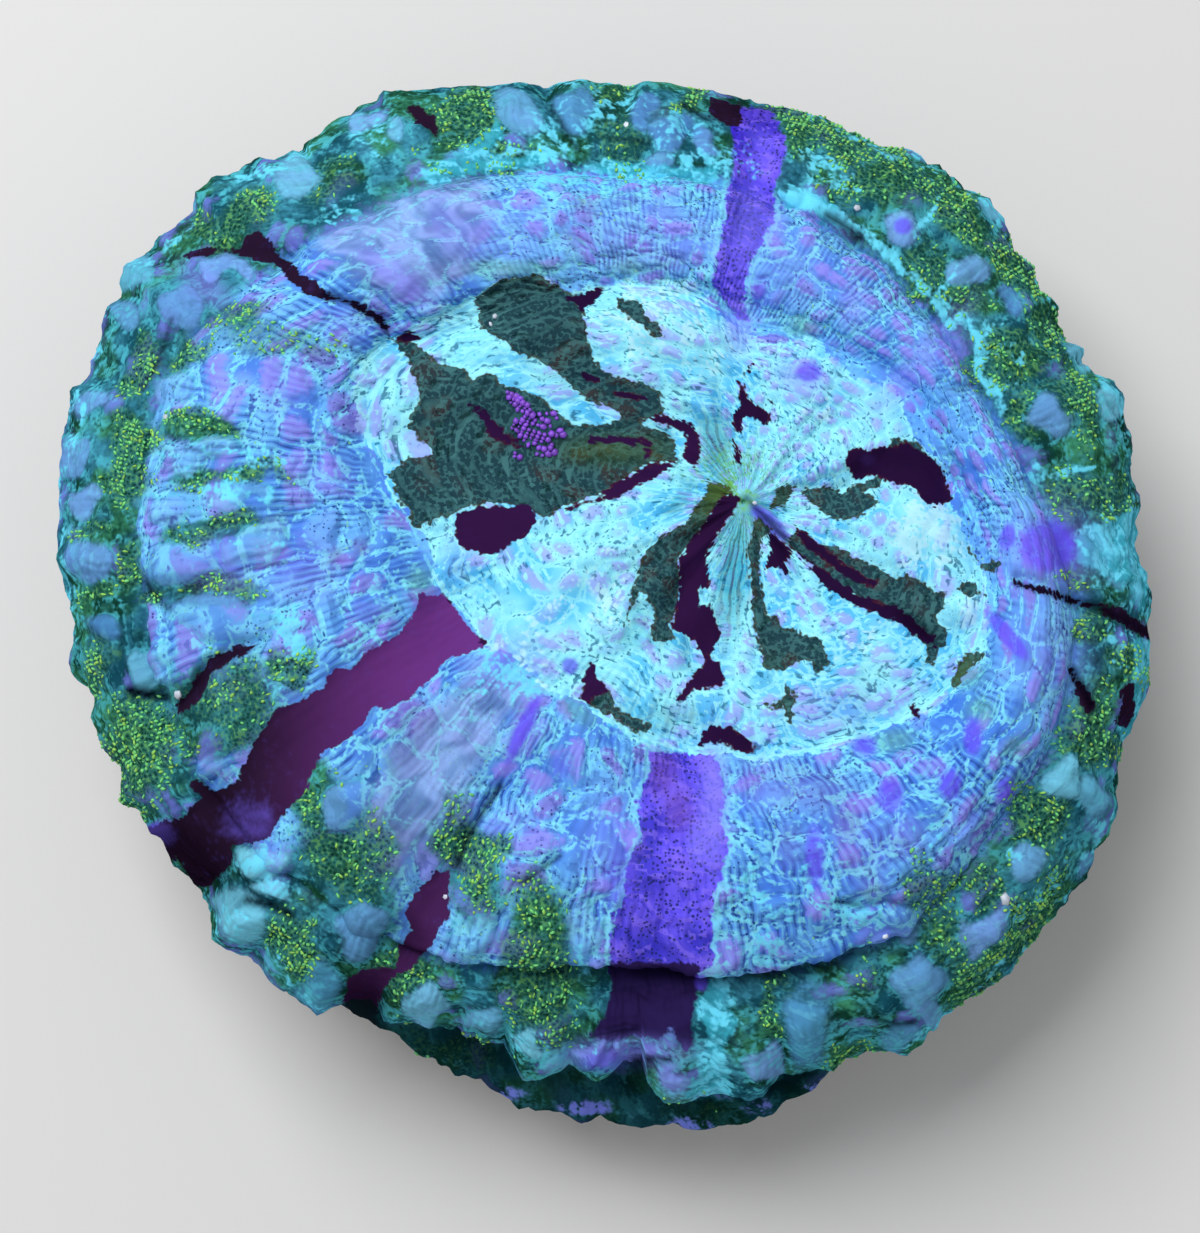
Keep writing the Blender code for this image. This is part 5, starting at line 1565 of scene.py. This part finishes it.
class Flesh(Wiring):
    """The wiring of the flesh, with the masks by which its colours are laid over each other."""

    def __init__(self, tree, groups):
        super().__init__(tree)
        self.groups = groups
        self.fact = {}
        for start in range(0, len(FACTS), 3):
            known = self.parts(self.attribute(f"facts_{start}"))
            self.fact.update(zip(FACTS[start:start + 3], known))
        self.add_specks()
        self.add_lobes()
        self.add_ridges()
        self.skirt = self.rise(self.plus(self.fact["skirt"], self.fray, 4.0), 1.0, 3.6)
        self.disc = self.edge("disc", 2.2)

    def add_specks(self):
        """The fine noise that frays edges, and the small dots, pores and flecks."""
        fact = self.fact
        place = self.place()
        self.fuzz = self.noise(place, FUZZ_FINENESS)
        self.fray = self.plus(self.times(fact["fray"], 0.7), self.fuzz, 0.3)
        self.gate = self.rise(self.fray, 0.42, 0.56)
        self.other = self.rise(fact["cloud"], 0.40, 0.55)
        distance, colour = self.cells(place, SPECK_FINENESS)
        self.grit = self.plus(distance, self.fuzz, 0.4)
        lot = self.fed("ShaderNodeSeparateColor", (colour,)).outputs[0]
        speck = self.fall(self.grit, 0.42, 0.54)
        self.dot = self.times(self.fall(self.grit, 0.46, 0.62), self.rise(lot, 0.16, 0.20))
        cloudy = self.rise(fact["cloud"], 0.50, 0.62)
        self.pore = self.times(speck, self.rise(lot, 0.62, 0.67), cloudy)
        self.fleck = self.times(speck, self.fall(lot, 0.16, 0.20))

    def add_lobes(self):
        """Each lobe's middle, the seam to the next, which takes painted shade, and the bright wall beside
        it, then the near side of each scale on it, which takes painted shade, the far side, which takes
        painted highlight, and the net between the scales."""
        fact = self.fact
        self.middle = self.fall(self.plus(fact["lobe"], self.fuzz, 0.3), 0.32, 0.66)
        seam = self.plus(fact["seam"], self.fuzz, 0.16)
        self.seam = self.fall(seam, 0.09, 0.14)
        self.wall = self.times(self.rise(seam, 0.10, 0.15), self.fall(seam, 0.20, 0.32))
        self.broken_wall = self.times(self.wall, self.rise(self.fray, 0.38, 0.54))
        # Painted shade on the near side of each scale and painted highlight on its far side
        lean = self.plus(fact["lean"], self.fuzz, 0.3)
        self.near_shade = self.fall(lean, -0.14, 0.02)
        self.far_highlight = self.rise(lean, 0.30, 0.46)
        self.net = self.fall(self.plus(fact["scale"], self.fuzz, 0.2), 0.16, 0.34)

    def add_ridges(self):
        """The wrinkles' grooves, which take painted shade, their crests, which take painted highlight, and
        the lines that cross them.
        """
        fact = self.fact
        sways = {"Flesh": self.attribute("flesh"), "Sway": fact["sway"], "Drift": fact["drift"]}
        group = self.groups["ridged_flesh"]
        outer = self.use(group, **sways, Count=OUTER_RIDGES, Spacing=OUTER_SPACING)
        self.inner = self.use(group, **sways, Count=INNER_RIDGES, Spacing=INNER_SPACING)
        self.ridge = self.times(outer["Ridge"], fact["wrinkle"])
        # Painted shade in the grooves of the wrinkles and painted highlight on their crests
        self.groove = self.times(self.fall(outer["Ridge"], 0.0, 0.32), fact["wrinkle"])
        self.crest_highlight = self.times(self.rise(outer["Ridge"], 0.65, 1.0), fact["wrinkle"])
        self.line = self.times(outer["Line"], self.gate, fact["wrinkle"])

    def edge(self, name, reach, softness=0.12, grow=0.0):
        """1 inside a marking, with its edge frayed so far to either side."""
        given = {"Fray": self.fray, "Reach": reach, "Softness": softness, "Grow": grow}
        return self.use(self.groups["ragged_edge"], Depth=self.fact[name], **given)["Mask"]


def ring_tone(flesh):
    """The ring: blue flesh with lilac lobes, wrinkles with painted shade in their grooves and painted
    highlight on their crests, painted shade in the seams and on the near sides of the scales, painted
    highlight on their far sides, bright walls and a few lines round it.
    """
    fact, rise = flesh.fact, flesh.rise
    ring = flesh.layered(
        flesh.blend(rise(fact["cloud"], 0.30, 0.65), RING_BLUE, RING_SKY),
        (fact["dusk"], 0.6, RING_DUSK),
        (flesh.middle, fact["some"], 0.85, RING_LILAC),
        (flesh.middle, fact["few"], 0.5, RING_MAUVE),
        (flesh.groove, 0.75, WRINKLE_SHADE),
        (flesh.crest_highlight, 0.4, BEAD),
        (flesh.near_shade, flesh.other, 0.4, RING_SEAM_SHADE),
        (flesh.far_highlight, flesh.gate, 0.6, BEAD),
        (flesh.broken_wall, 0.75, BEAD),
        (flesh.seam, flesh.other, 0.7, RING_SEAM_SHADE),
        (flesh.line, 0.5, BEAD),
        (flesh.pore, 0.75, PORE),
        (fact["olive"], 0.5, OLIVE),
        (flesh.fleck, flesh.times(rise(fact["lobe"], 0.4, 0.6), flesh.other), 0.6, FLECK),
    )
    fold = flesh.plus(fact["cloud"], flesh.inner["Ridge"], 0.4)
    silk = flesh.layered(
        flesh.blend(rise(fold, 0.35, 1.0), SILK_DARK, SILK_LIGHT),
        (flesh.wall, flesh.gate, 0.4, BEAD),
    )
    return flesh.layered(ring, (flesh.edge("silk", 4.0, 1.6), 0.8, silk))


def skirt_tone(flesh):
    """The skirt between its knobs: slate and moss, with a few lilac lobes, painted shade on the near sides
    of its scales and painted highlight on their far sides.
    """
    fact = flesh.fact
    mild = flesh.plus(flesh.times(fact["cloud"], 0.5), flesh.fray, 0.5)
    slate = flesh.blend(flesh.rise(mild, 0.34, 0.62), SLATE, SLATE_PALE)
    moss = flesh.blend(flesh.rise(mild, 0.36, 0.64), MOSS, MOSS_PALE)
    mossy = flesh.rise(flesh.plus(fact["drift"], fact["rim"], 0.15), 0.55, 0.90)
    return flesh.layered(
        flesh.blend(mossy, slate, moss),
        (flesh.middle, fact["few"], 0.6, KNOB_LILAC),
        (flesh.near_shade, flesh.other, 0.3, CRUMB_SHADE),
        (flesh.far_highlight, flesh.gate, 0.3, TURQUOISE),
        (flesh.broken_wall, 0.45, TURQUOISE),
    )


def with_knobs_and_beds(flesh, body):
    """Smooth knobs with bright edges, painted shade in their grooves and on the near sides of their scales
    and painted highlight on the far sides, beds of crumbs between them, and bright sheets with painted
    shade on the near sides of their scales.
    """
    fact, times, rise, fall = flesh.fact, flesh.times, flesh.rise, flesh.fall
    bare = flesh.math("SUBTRACT", 1.0, fact["knobs"])
    bed = flesh.math("MULTIPLY", fact["crumbs"], bare, clamp=True)
    ragged = flesh.plus(fact["knobs"], flesh.fray, 0.8)
    knob = flesh.blend(fact["knob_lilac"], KNOB_TEAL, KNOB_LILAC)
    knob = flesh.blend(fact["knob_pale"], knob, KNOB_PALE)
    knob = flesh.layered(
        flesh.blend(rise(ragged, 0.65, 1.40), KNOB_SHADE, knob),
        (flesh.groove, 0.2, KNOB_SHADE),
        (flesh.far_highlight, flesh.other, 0.2, BEAD),
        (flesh.near_shade, flesh.gate, 0.25, KNOB_SHADE),
    )
    sheet = flesh.layered(
        flesh.blend(flesh.broken_wall, AQUA, ICE),
        (flesh.middle, flesh.other, ICE),
        (flesh.near_shade, 0.4, SLATE_PALE),
    )
    lace = times(fact["rim"], rise(flesh.fray, 0.50, 0.62), flesh.math("SUBTRACT", 1.0, bed))
    return flesh.layered(
        body,
        (bed, 0.8, BED),
        (rise(ragged, 0.45, 1.20), flesh.plus(0.35, flesh.skirt, 0.45), knob),
        (rise(ragged, 0.60, 0.80), fall(ragged, 0.80, 1.1), flesh.gate, 0.45, KNOB_EDGE),
        (fall(flesh.grit, 0.40, 0.66), bed, 0.75, CRUMB_SHADE),
        (rise(flesh.grit, 0.82, 0.92), bed, 0.5, CRUMB),
        (lace, 0.6, TURQUOISE),
        (flesh.edge("aqua", 2.0, 0.3), 0.85, sheet),
    )


def with_violet_bands(flesh, body):
    """The violet bands, with dark dots and a bright outline, painted shade in their grooves and on the
    near sides of their scales and painted highlight on the far sides, and the dark patch below the front
    one.
    """
    fact = flesh.fact
    violet = flesh.layered(
        flesh.blend(flesh.rise(fact["cloud"], 0.35, 0.65), VIOLET_DEEP, VIOLET),
        (flesh.middle, fact["some"], 0.5, VIOLET_PINK),
        (flesh.groove, 0.5, VIOLET_DEEP),
        (flesh.far_highlight, 0.5, VIOLET_PINK),
        (flesh.near_shade, flesh.gate, 0.6, VIOLET_DEEP),
        (flesh.dot, 0.85, VIOLET_DOT),
    )
    above = flesh.math("SUBTRACT", 1.0, flesh.skirt)
    return flesh.layered(
        body,
        (flesh.edge("violet", 2.0, 0.2, 0.6), above, 0.6, BEAD),
        (flesh.edge("violet", 2.0, 0.2), 0.96, violet),
        (flesh.edge("night", 1.4, 0.2), VIOLET_DUSK),
    )


def disc_tone(flesh):
    """The oral disc: pale scales with painted shade on their near sides and in their seams and painted
    highlight on their far sides, lilac in some lobes, olive round the mouth.
    """
    fact, rise = flesh.fact, flesh.rise
    teal = flesh.blend(rise(flesh.inner["Ridge"], 0.15, 0.5), DISC_TEAL_LINE, DISC_TEAL)
    return flesh.layered(
        flesh.blend(rise(fact["cloud"], 0.30, 0.60), DISC_SKY, DISC_PALE),
        (flesh.middle, fact["most"], 0.8, DISC_LILAC),
        (flesh.wall, 0.6, DISC_EDGE),
        (flesh.far_highlight, 0.75, DISC_EDGE),
        (flesh.seam, flesh.other, 0.7, DISC_SEAM_SHADE),
        (flesh.near_shade, flesh.gate, 0.75, DISC_SEAM_SHADE),
        (fact["teal"], 0.8, teal),
        (fact["gullet"], rise(flesh.fray, 0.44, 0.60), DISC_OLIVE),
        (flesh.pore, 0.4, PORE),
    )


def with_spots(flesh, body):
    """Soft spots of lilac, mauve and violet, then the brightest flesh, partly painted light and dimmed on
    the near sides of the scales, and the bright lines.
    """
    fact, times, rise, plus = flesh.fact, flesh.times, flesh.rise, flesh.plus
    # The brightest flesh: partly painted light, kept dimmer on the painted-shade side of each scale
    bright = rise(plus(fact["ice"], flesh.fray, 3.0), 1.95, 2.45)
    bright = times(bright, rise(fact["ice"], 0.05, 0.3), plus(0.75, flesh.near_shade, -0.5))
    gleam = rise(plus(fact["gleam"], flesh.fray, 2.2), 1.45, 2.05)
    gleam = times(gleam, rise(fact["gleam"], 0.05, 0.4), 0.85)
    return flesh.layered(
        body,
        (fact["lilac_spots"], 0.6, PINK),
        (fact["mauve_spots"], 0.55, MAUVE),
        (rise(fact["violet_spots"], 0.15, 0.75), 0.75, VIOLET),
        (bright, flesh.blend(flesh.disc, ICE, ICE_WHITE)),
        (gleam, ICE),
    )


def with_green_patches(flesh, body):
    """The dark green patches, with a paler net that takes in painted highlight on the far sides of the
    scales, painted shade on the near sides, and a browner edge.
    """
    fact, times = flesh.fact, flesh.times
    mesh = times(flesh.net, flesh.gate)
    for other in (
        times(flesh.inner["Line"], 0.5),
        times(flesh.far_highlight, flesh.other),
        times(flesh.rise(flesh.grit, 0.74, 0.90), 0.7),
    ):
        mesh = flesh.math("MAXIMUM", mesh, other)
    deep = flesh.layered(
        flesh.blend(times(flesh.middle, fact["some"]), NET_DARK, NET_BROWN),
        (mesh, 0.65, NET_LIGHT),
        (flesh.math("MAXIMUM", fact["gullet"], times(fact["olive"], 0.6)), NET_OLIVE),
        (flesh.near_shade, flesh.gate, 0.6, CRUMB_SHADE),
    )
    return flesh.layered(
        body,
        (flesh.edge("green", 1.7), NET_EDGE),
        (flesh.edge("green", 1.7, 0.15, -0.14), deep),
    )


def with_maroon_patches(flesh, body):
    """The maroon patches on the disc and the plum bands outside it."""
    fact = flesh.fact
    bluer = flesh.rise(flesh.math("ADD", fact["violet_spots"], flesh.fray), 0.5, 1.6)
    wine = flesh.layered(
        flesh.blend(fact["dawn"], PLUM_DARK, PLUM_PALE),
        (bluer, 0.8, PLUM_VIOLET),
        (flesh.disc, 0.9, MAROON),
    )
    brown = flesh.blend(flesh.times(flesh.disc, fact["some"]), wine, MAROON_EDGE)
    return flesh.layered(
        body,
        (flesh.edge("maroon", 1.6), brown),
        (flesh.edge("maroon", 1.6, 0.15, -0.14), wine),
    )


def with_shade_and_stone(flesh, body):
    """The darkest flesh with its painted shade, the painted shade of the clefts and of the front crease,
    the painted shade on the lower tier under the rim with its bright tips, and the bare stone.
    """
    fact = flesh.fact
    tip = flesh.rise(flesh.math("ADD", fact["ice"], flesh.fray), 0.8, 1.3)
    return flesh.layered(
        body,
        # painted shade in the dark areas
        (fact["shade"], 0.65, BLACK),
        # painted shade in the clefts and under the front crease
        (fact["cleft_shade"], CLEFT_SHADE),
        # painted shade on the lower tier under the rim
        (fact["tier"], 0.8, UNDERSIDE_SHADE),
        (fact["tier"], tip, flesh.gate, 0.85, KNOB_LILAC),
        (fact["stone"], flesh.blend(flesh.rise(flesh.fray, 0.3, 0.7), STONE_DARK, STONE)),
    )


def new_material(name, roughness):
    """A material with its tree and its shader, of one roughness all over."""
    material = bpy.data.materials.new(name)
    material.use_nodes = True
    shader = material.node_tree.nodes["Principled BSDF"]
    shader.inputs["Roughness"].default_value = roughness
    return material, material.node_tree, shader


def skin_material(groups):
    """The flesh, with every marking, and the bare stone under it."""
    material, tree, shader = new_material("coral_skin", FLESH_ROUGHNESS)
    flesh = Flesh(tree, groups)
    body = flesh.blend(flesh.skirt, ring_tone(flesh), skirt_tone(flesh))
    body = with_knobs_and_beds(flesh, body)
    body = with_violet_bands(flesh, body)
    body = flesh.blend(flesh.disc, body, disc_tone(flesh))
    body = with_spots(flesh, body)
    body = with_green_patches(flesh, body)
    body = with_maroon_patches(flesh, body)
    body = with_shade_and_stone(flesh, body)
    flesh.feed(shader.inputs["Base Color"], body)
    bump = flesh.add("ShaderNodeBump")
    relief = {"Distance": RIDGE_DEPTH * MM, "Strength": RIDGE_STRENGTH, "Height": flesh.ridge}
    for name, value in relief.items():
        flesh.feed(bump.inputs[name], value)
    flesh.feed(shader.inputs["Normal"], bump.outputs[0])
    shader.inputs["Specular IOR Level"].default_value = 0.0
    return material


def grain_material(name, colour, roughness, groups):
    """The finish of small grains: one colour, a little darker in places."""
    material, tree, shader = new_material(name, roughness)
    wiring = Wiring(tree)
    darker = tuple(GRAIN_SHADE * part for part in colour[:3]) + (1.0,)
    tone = wiring.use(groups["uneven_tone"], Place=wiring.place(), Dark=darker, Light=colour)["Tone"]
    wiring.feed(shader.inputs["Base Color"], tone)
    return material


# ---------------- pieces

# A grain is a low dome: its sides, how wide and high its shoulder is, and how far its root sinks in
GRAIN_SIDES = 5
SHOULDER_WIDTH, SHOULDER_HEIGHT, ROOT_DEPTH = 0.72, 0.62, 0.35

# How far a grain's length turns from its spoke
GRAIN_WANDER = 0.8

# Crumbs: the least and the most half length, half width and height, and how they are spread
CRUMB_SIZES = ((0.16, 0.42), (0.11, 0.22), (0.10, 0.24))
CRUMB_GAP = 0.36
CRUMB_DENSITY = 0.8
TIER_DENSITY = 0.05
YELLOW_SHARE = 0.3
CRUMB_GREEN = paint(120, 222, 128)
CRUMB_YELLOW = paint(156, 224, 100)
CRUMB_ROUGHNESS = 0.5

# Heaps of purple grains on the dark patch: x, y, half length, half width, turn and strength
PURPLE_HEAPS = (
    (-8.7, 20.4, 1.4, 0.6, -42, 1), (-7, 18.4, 2.2, 0.8, 12, 1), (-6.8, 16.6, 1.6, 0.8, -20, 1),
    (-6, 15.4, 1.2, 0.5, 10, 1), (-8.6, 15, 0.6, 0.4, 0, 1), (-4.6, 17.2, 0.7, 0.5, 0, 1),
)
PURPLE = paint(146, 84, 226)
HEAP_SIZES = (0.20, 0.46)
GRAIN_UNEVENNESS = (0.7, 1.3)
HEAP_GAP = 0.38

# Single white grains: x, y and half width
WHITE_GRAINS = (
    (25.3, 39.7, 0.4), (-10.9, 28.9, 0.4), (-11.5, 28.3, 0.3), (-43.8, 18.9, 0.4), (-42.7, -8.7, 0.6),
    (52.7, -1.1, 0.4), (50.7, 0.6, 0.35), (40, -29.3, 0.75), (28, -33.1, 0.4), (2, 48, 0.35),
    (-16, -29, 0.35), (15, 10.3, 0.3),
)
GRAIN_WHITE = paint(228, 238, 255)
WHITE_UNEVENNESS = (0.75, 1.25)
WHITE_FLATNESS = 0.45
GRAIN_ROUGHNESS = 0.45


def add_piece(name, points, faces, material, normals=None, known=None):
    """A piece of the coral from points in millimetres, and triples of values known at each point."""
    mesh = bpy.data.meshes.new(name)
    mesh.from_pydata((np.asarray(points) * MM).tolist(), [], faces)
    mesh.materials.append(material)
    mesh.shade_smooth()
    for label, values in (known or {}).items():
        attribute = mesh.attributes.new(label, "FLOAT_VECTOR", "POINT")
        attribute.data.foreach_set("vector", values.astype(np.float32).ravel())
    if normals is not None:
        mesh.normals_split_custom_set_from_vertices(normals.tolist())
    piece = bpy.data.objects.new(name, mesh)
    bpy.context.scene.collection.objects.link(piece)
    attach(piece, "root")
    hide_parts(NODE)


def add_skin(skin, facts, material):
    """The skin as two pieces that meet in the crease between the ring and the skirt."""
    turn = 2 * math.pi * skin.turn
    known = {
        f"facts_{start}": np.stack([facts[name] for name in FACTS[start:start + 3]], axis=-1)
        for start in range(0, len(FACTS), 3)
    }
    known["flesh"] = np.stack([np.cos(turn), np.sin(turn), skin.path], axis=-1)
    crease = int(np.searchsorted(skin.ring_levels, CREASE))
    parted = skin.ring_starts[crease]
    shared = skin.ring_starts[crease + 1]
    last = len(skin.points)
    throat = [list(range(int(skin.ring_spokes[0])))]
    foot = [list(range(last - 1, int(skin.ring_starts[-2]) - 1, -1))]
    inner = [face for face, level in zip(skin.faces, skin.face_levels) if level < CREASE]
    outer = [face for face, level in zip(skin.faces, skin.face_levels) if level >= CREASE]
    for name, faces, low, high in (
        ("disc_and_ring", inner + throat, 0, shared),
        ("skirt_and_base", outer + foot, parted, last),
    ):
        moved = [[corner - int(low) for corner in face] for face in faces]
        add_piece(
            name, skin.points[low:high], moved, material, skin.shading[low:high],
            {label: values[low:high] for label, values in known.items()},
        )


def add_grains(name, skin, chosen, along, sizes, material):
    """Small grains at chosen points of the skin, each a low dome with its length along the skin."""
    turns = np.arange(GRAIN_SIDES) * 2 * math.pi / GRAIN_SIDES
    circle = np.column_stack([np.cos(turns), np.sin(turns), np.zeros(GRAIN_SIDES)])
    shoulder = circle * SHOULDER_WIDTH + [0, 0, SHOULDER_HEIGHT]
    dome = np.vstack([[0, 0, 1.0], shoulder, circle - [0, 0, ROOT_DEPTH]])
    sides = range(GRAIN_SIDES)
    upper = [1 + side for side in sides]
    lower = [1 + GRAIN_SIDES + side for side in sides]
    cap = [(0, upper[side], upper[side - 1]) for side in sides]
    wall = [(upper[side - 1], upper[side], lower[side], lower[side - 1]) for side in sides]
    shell = [face[::-1] for face in cap + wall] + [tuple(reversed(lower))]
    normals = skin.shading[chosen]
    across = np.cross(normals, along)
    frames = np.stack([along * sizes[:, :1], across * sizes[:, 1:2], normals * sizes[:, 2:]], axis=1)
    places = skin.points[chosen][:, None, :] + np.einsum("vk,nkd->nvd", dome, frames)
    faces = [
        tuple(corner + number * len(dome) for corner in face)
        for number in range(len(chosen))
        for face in shell
    ]
    add_piece(name, places.reshape(-1, 3), faces, material)


def spread(skin, weight, gap, seed):
    """Points of the skin chosen unevenly, more where the weight is high, and none nearer than a gap."""
    chance = np.random.default_rng(seed)
    order = chance.permutation(np.flatnonzero(weight > 0))
    order = order[chance.random(len(order)) < weight[order]]
    taken = {}
    chosen = []
    for number in order:
        point = skin.points[number]
        cell = tuple(np.floor(point / gap).astype(int))
        around = (
            taken.get((cell[0] + i, cell[1] + j, cell[2] + k))
            for i in (-1, 0, 1) for j in (-1, 0, 1) for k in (-1, 0, 1)
        )
        if not any(other is not None and np.linalg.norm(other - point) < gap for other in around):
            taken[cell] = point
            chosen.append(number)
    return np.array(chosen)


def laid_along(skin, chosen, chance):
    """Directions in the skin for grains, most of them along a spoke."""
    angles = skin.angle[chosen]
    way = np.column_stack([np.cos(angles), np.sin(angles), np.zeros(len(chosen))])
    way += chance.normal(0, GRAIN_WANDER, (len(chosen), 3))
    normals = skin.shading[chosen]
    way -= normals * np.sum(way * normals, axis=1)[:, None]
    return way / np.linalg.norm(way, axis=1)[:, None]


def add_crumbs(skin, facts, groups):
    """The raised crumbs on the skirt and in the valleys of the ring, in two tones."""
    clear = (facts["maroon"] < -0.3) & (facts["violet"] < -0.3) & (facts["disc"] < -1)
    clear &= facts["stone"] == 0
    weight = facts["crumbs"] * np.clip(1 - 1.2 * facts["knobs"], 0, 1) * clear
    weight *= np.where(skin.level > TUCK, TIER_DENSITY, 1.0) * np.clip(3 * facts["cloud"] - 0.6, 0.1, 1)
    weight *= np.clip(5 * facts["fray"] - 2.0, 0.12, 1)
    chosen = spread(skin, CRUMB_DENSITY * weight, CRUMB_GAP, seed=5)
    chance = np.random.default_rng(6)
    sizes = np.column_stack([chance.uniform(least, most, len(chosen)) for least, most in CRUMB_SIZES])
    ways = laid_along(skin, chosen, chance)
    yellow = chance.random(len(chosen)) < YELLOW_SHARE
    for name, tone, part in (
        ("crumbs_green", CRUMB_GREEN, ~yellow),
        ("crumbs_yellow", CRUMB_YELLOW, yellow),
    ):
        finish = grain_material(name, tone, CRUMB_ROUGHNESS, groups)
        add_grains(name, skin, chosen[part], ways[part], sizes[part], finish)


def add_purple_grains(skin, groups):
    """The heaped purple grains on the dark patch left of the mouth."""
    heaped = soft_spots(skin.plan, PURPLE_HEAPS) * (skin.level < DISC_GROOVE)
    chosen = spread(skin, np.where(heaped > 0.3, 1.0, 0), HEAP_GAP, seed=8)
    chance = np.random.default_rng(9)
    sizes = chance.uniform(*HEAP_SIZES, (len(chosen), 1))
    sizes = sizes * chance.uniform(*GRAIN_UNEVENNESS, (len(chosen), 3))
    ways = laid_along(skin, chosen, chance)
    finish = grain_material("purple_grains", PURPLE, GRAIN_ROUGHNESS, groups)
    add_grains("purple_grains", skin, chosen, ways, sizes, finish)


def add_white_grains(skin, groups):
    """The few white grains that lie loose on the flesh."""
    top = np.flatnonzero(skin.level < TUCK)
    nearest = [np.argmin(np.hypot(*(skin.plan[top] - [x, y]).T)) for x, y, _ in WHITE_GRAINS]
    chosen = top[nearest]
    chance = np.random.default_rng(7)
    widths = np.array([[width] for _, _, width in WHITE_GRAINS])
    sizes = widths * chance.uniform(*WHITE_UNEVENNESS, (len(chosen), 3)) * [1, 1, WHITE_FLATNESS]
    ways = laid_along(skin, chosen, chance)
    finish = grain_material("white_grains", GRAIN_WHITE, GRAIN_ROUGHNESS, groups)
    add_grains("white_grains", skin, chosen, ways, sizes, finish)


# ---------------- the studio, in metres

FLOOR_HALF = 2.0
FLOOR_GREY = (0.72, 0.72, 0.72, 1.0)
LAMP_PLACE = (-0.20, 0.24, 0.60)
LAMP_TARGET = (0, 0, 0.04)
LAMP_SIZE = 0.35
LAMP_POWER = 3.4
SKY_WHITE = (1.0, 1.0, 1.0, 1.0)
SKY_STRENGTH = 0.42
SENSOR_WIDTH = 36.0
NEAREST_SEEN = 0.01


def add_floor():
    """The plain floor that the coral stands on."""
    mesh = bpy.data.meshes.new("floor")
    corners = [(x * FLOOR_HALF, y * FLOOR_HALF, 0) for x, y in ((-1, -1), (1, -1), (1, 1), (-1, 1))]
    mesh.from_pydata(corners, [], [(0, 1, 2, 3)])
    material, _, shader = new_material("floor_paint", 0.9)
    shader.inputs["Base Color"].default_value = FLOOR_GREY
    mesh.materials.append(material)
    floor = bpy.data.objects.new("floor", mesh)
    bpy.context.scene.collection.objects.link(floor)


def add_lamp():
    """A square soft lamp behind the coral's left shoulder."""
    light = bpy.data.lights.new("key", "AREA")
    light.size = LAMP_SIZE
    light.energy = LAMP_POWER
    lamp = bpy.data.objects.new("key", light)
    lamp.location = LAMP_PLACE
    lamp.rotation_euler = (Vector(LAMP_TARGET) - Vector(LAMP_PLACE)).to_track_quat("-Z", "Y").to_euler()
    bpy.context.scene.collection.objects.link(lamp)


def add_camera():
    """The camera over the oral disc, leaning a little to the front."""
    data = bpy.data.cameras.new("camera")
    data.sensor_fit = "HORIZONTAL"
    data.sensor_width = SENSOR_WIDTH
    data.lens = SENSOR_WIDTH * VIEW_DISTANCE / FRAME_WIDTH
    data.clip_start = NEAREST_SEEN
    camera = bpy.data.objects.new("camera", data)
    camera.location = Vector(EYE * MM)
    camera.rotation_euler = Vector(FORWARD).to_track_quat("-Z", "Y").to_euler()
    bpy.context.scene.collection.objects.link(camera)
    bpy.context.scene.camera = camera


def set_world():
    """Even, pale light from all round."""
    world = bpy.data.worlds.new("studio")
    world.use_nodes = True
    background = world.node_tree.nodes["Background"]
    background.inputs["Color"].default_value = SKY_WHITE
    background.inputs["Strength"].default_value = SKY_STRENGTH
    bpy.context.scene.world = world
    bpy.context.scene.view_settings.view_transform = "Standard"


def main():
    """The whole scene."""
    groups = {
        "ragged_edge": ragged_edge_group(),
        "ridged_flesh": ridged_flesh_group(),
        "uneven_tone": uneven_tone_group(),
    }
    skin = Skin()
    facts = skin_facts(skin)
    add_skin(skin, facts, skin_material(groups))
    add_crumbs(skin, facts, groups)
    add_purple_grains(skin, groups)
    add_white_grains(skin, groups)
    add_floor()
    add_lamp()
    add_camera()
    set_world()


main()
bpy.context.view_layer.update()
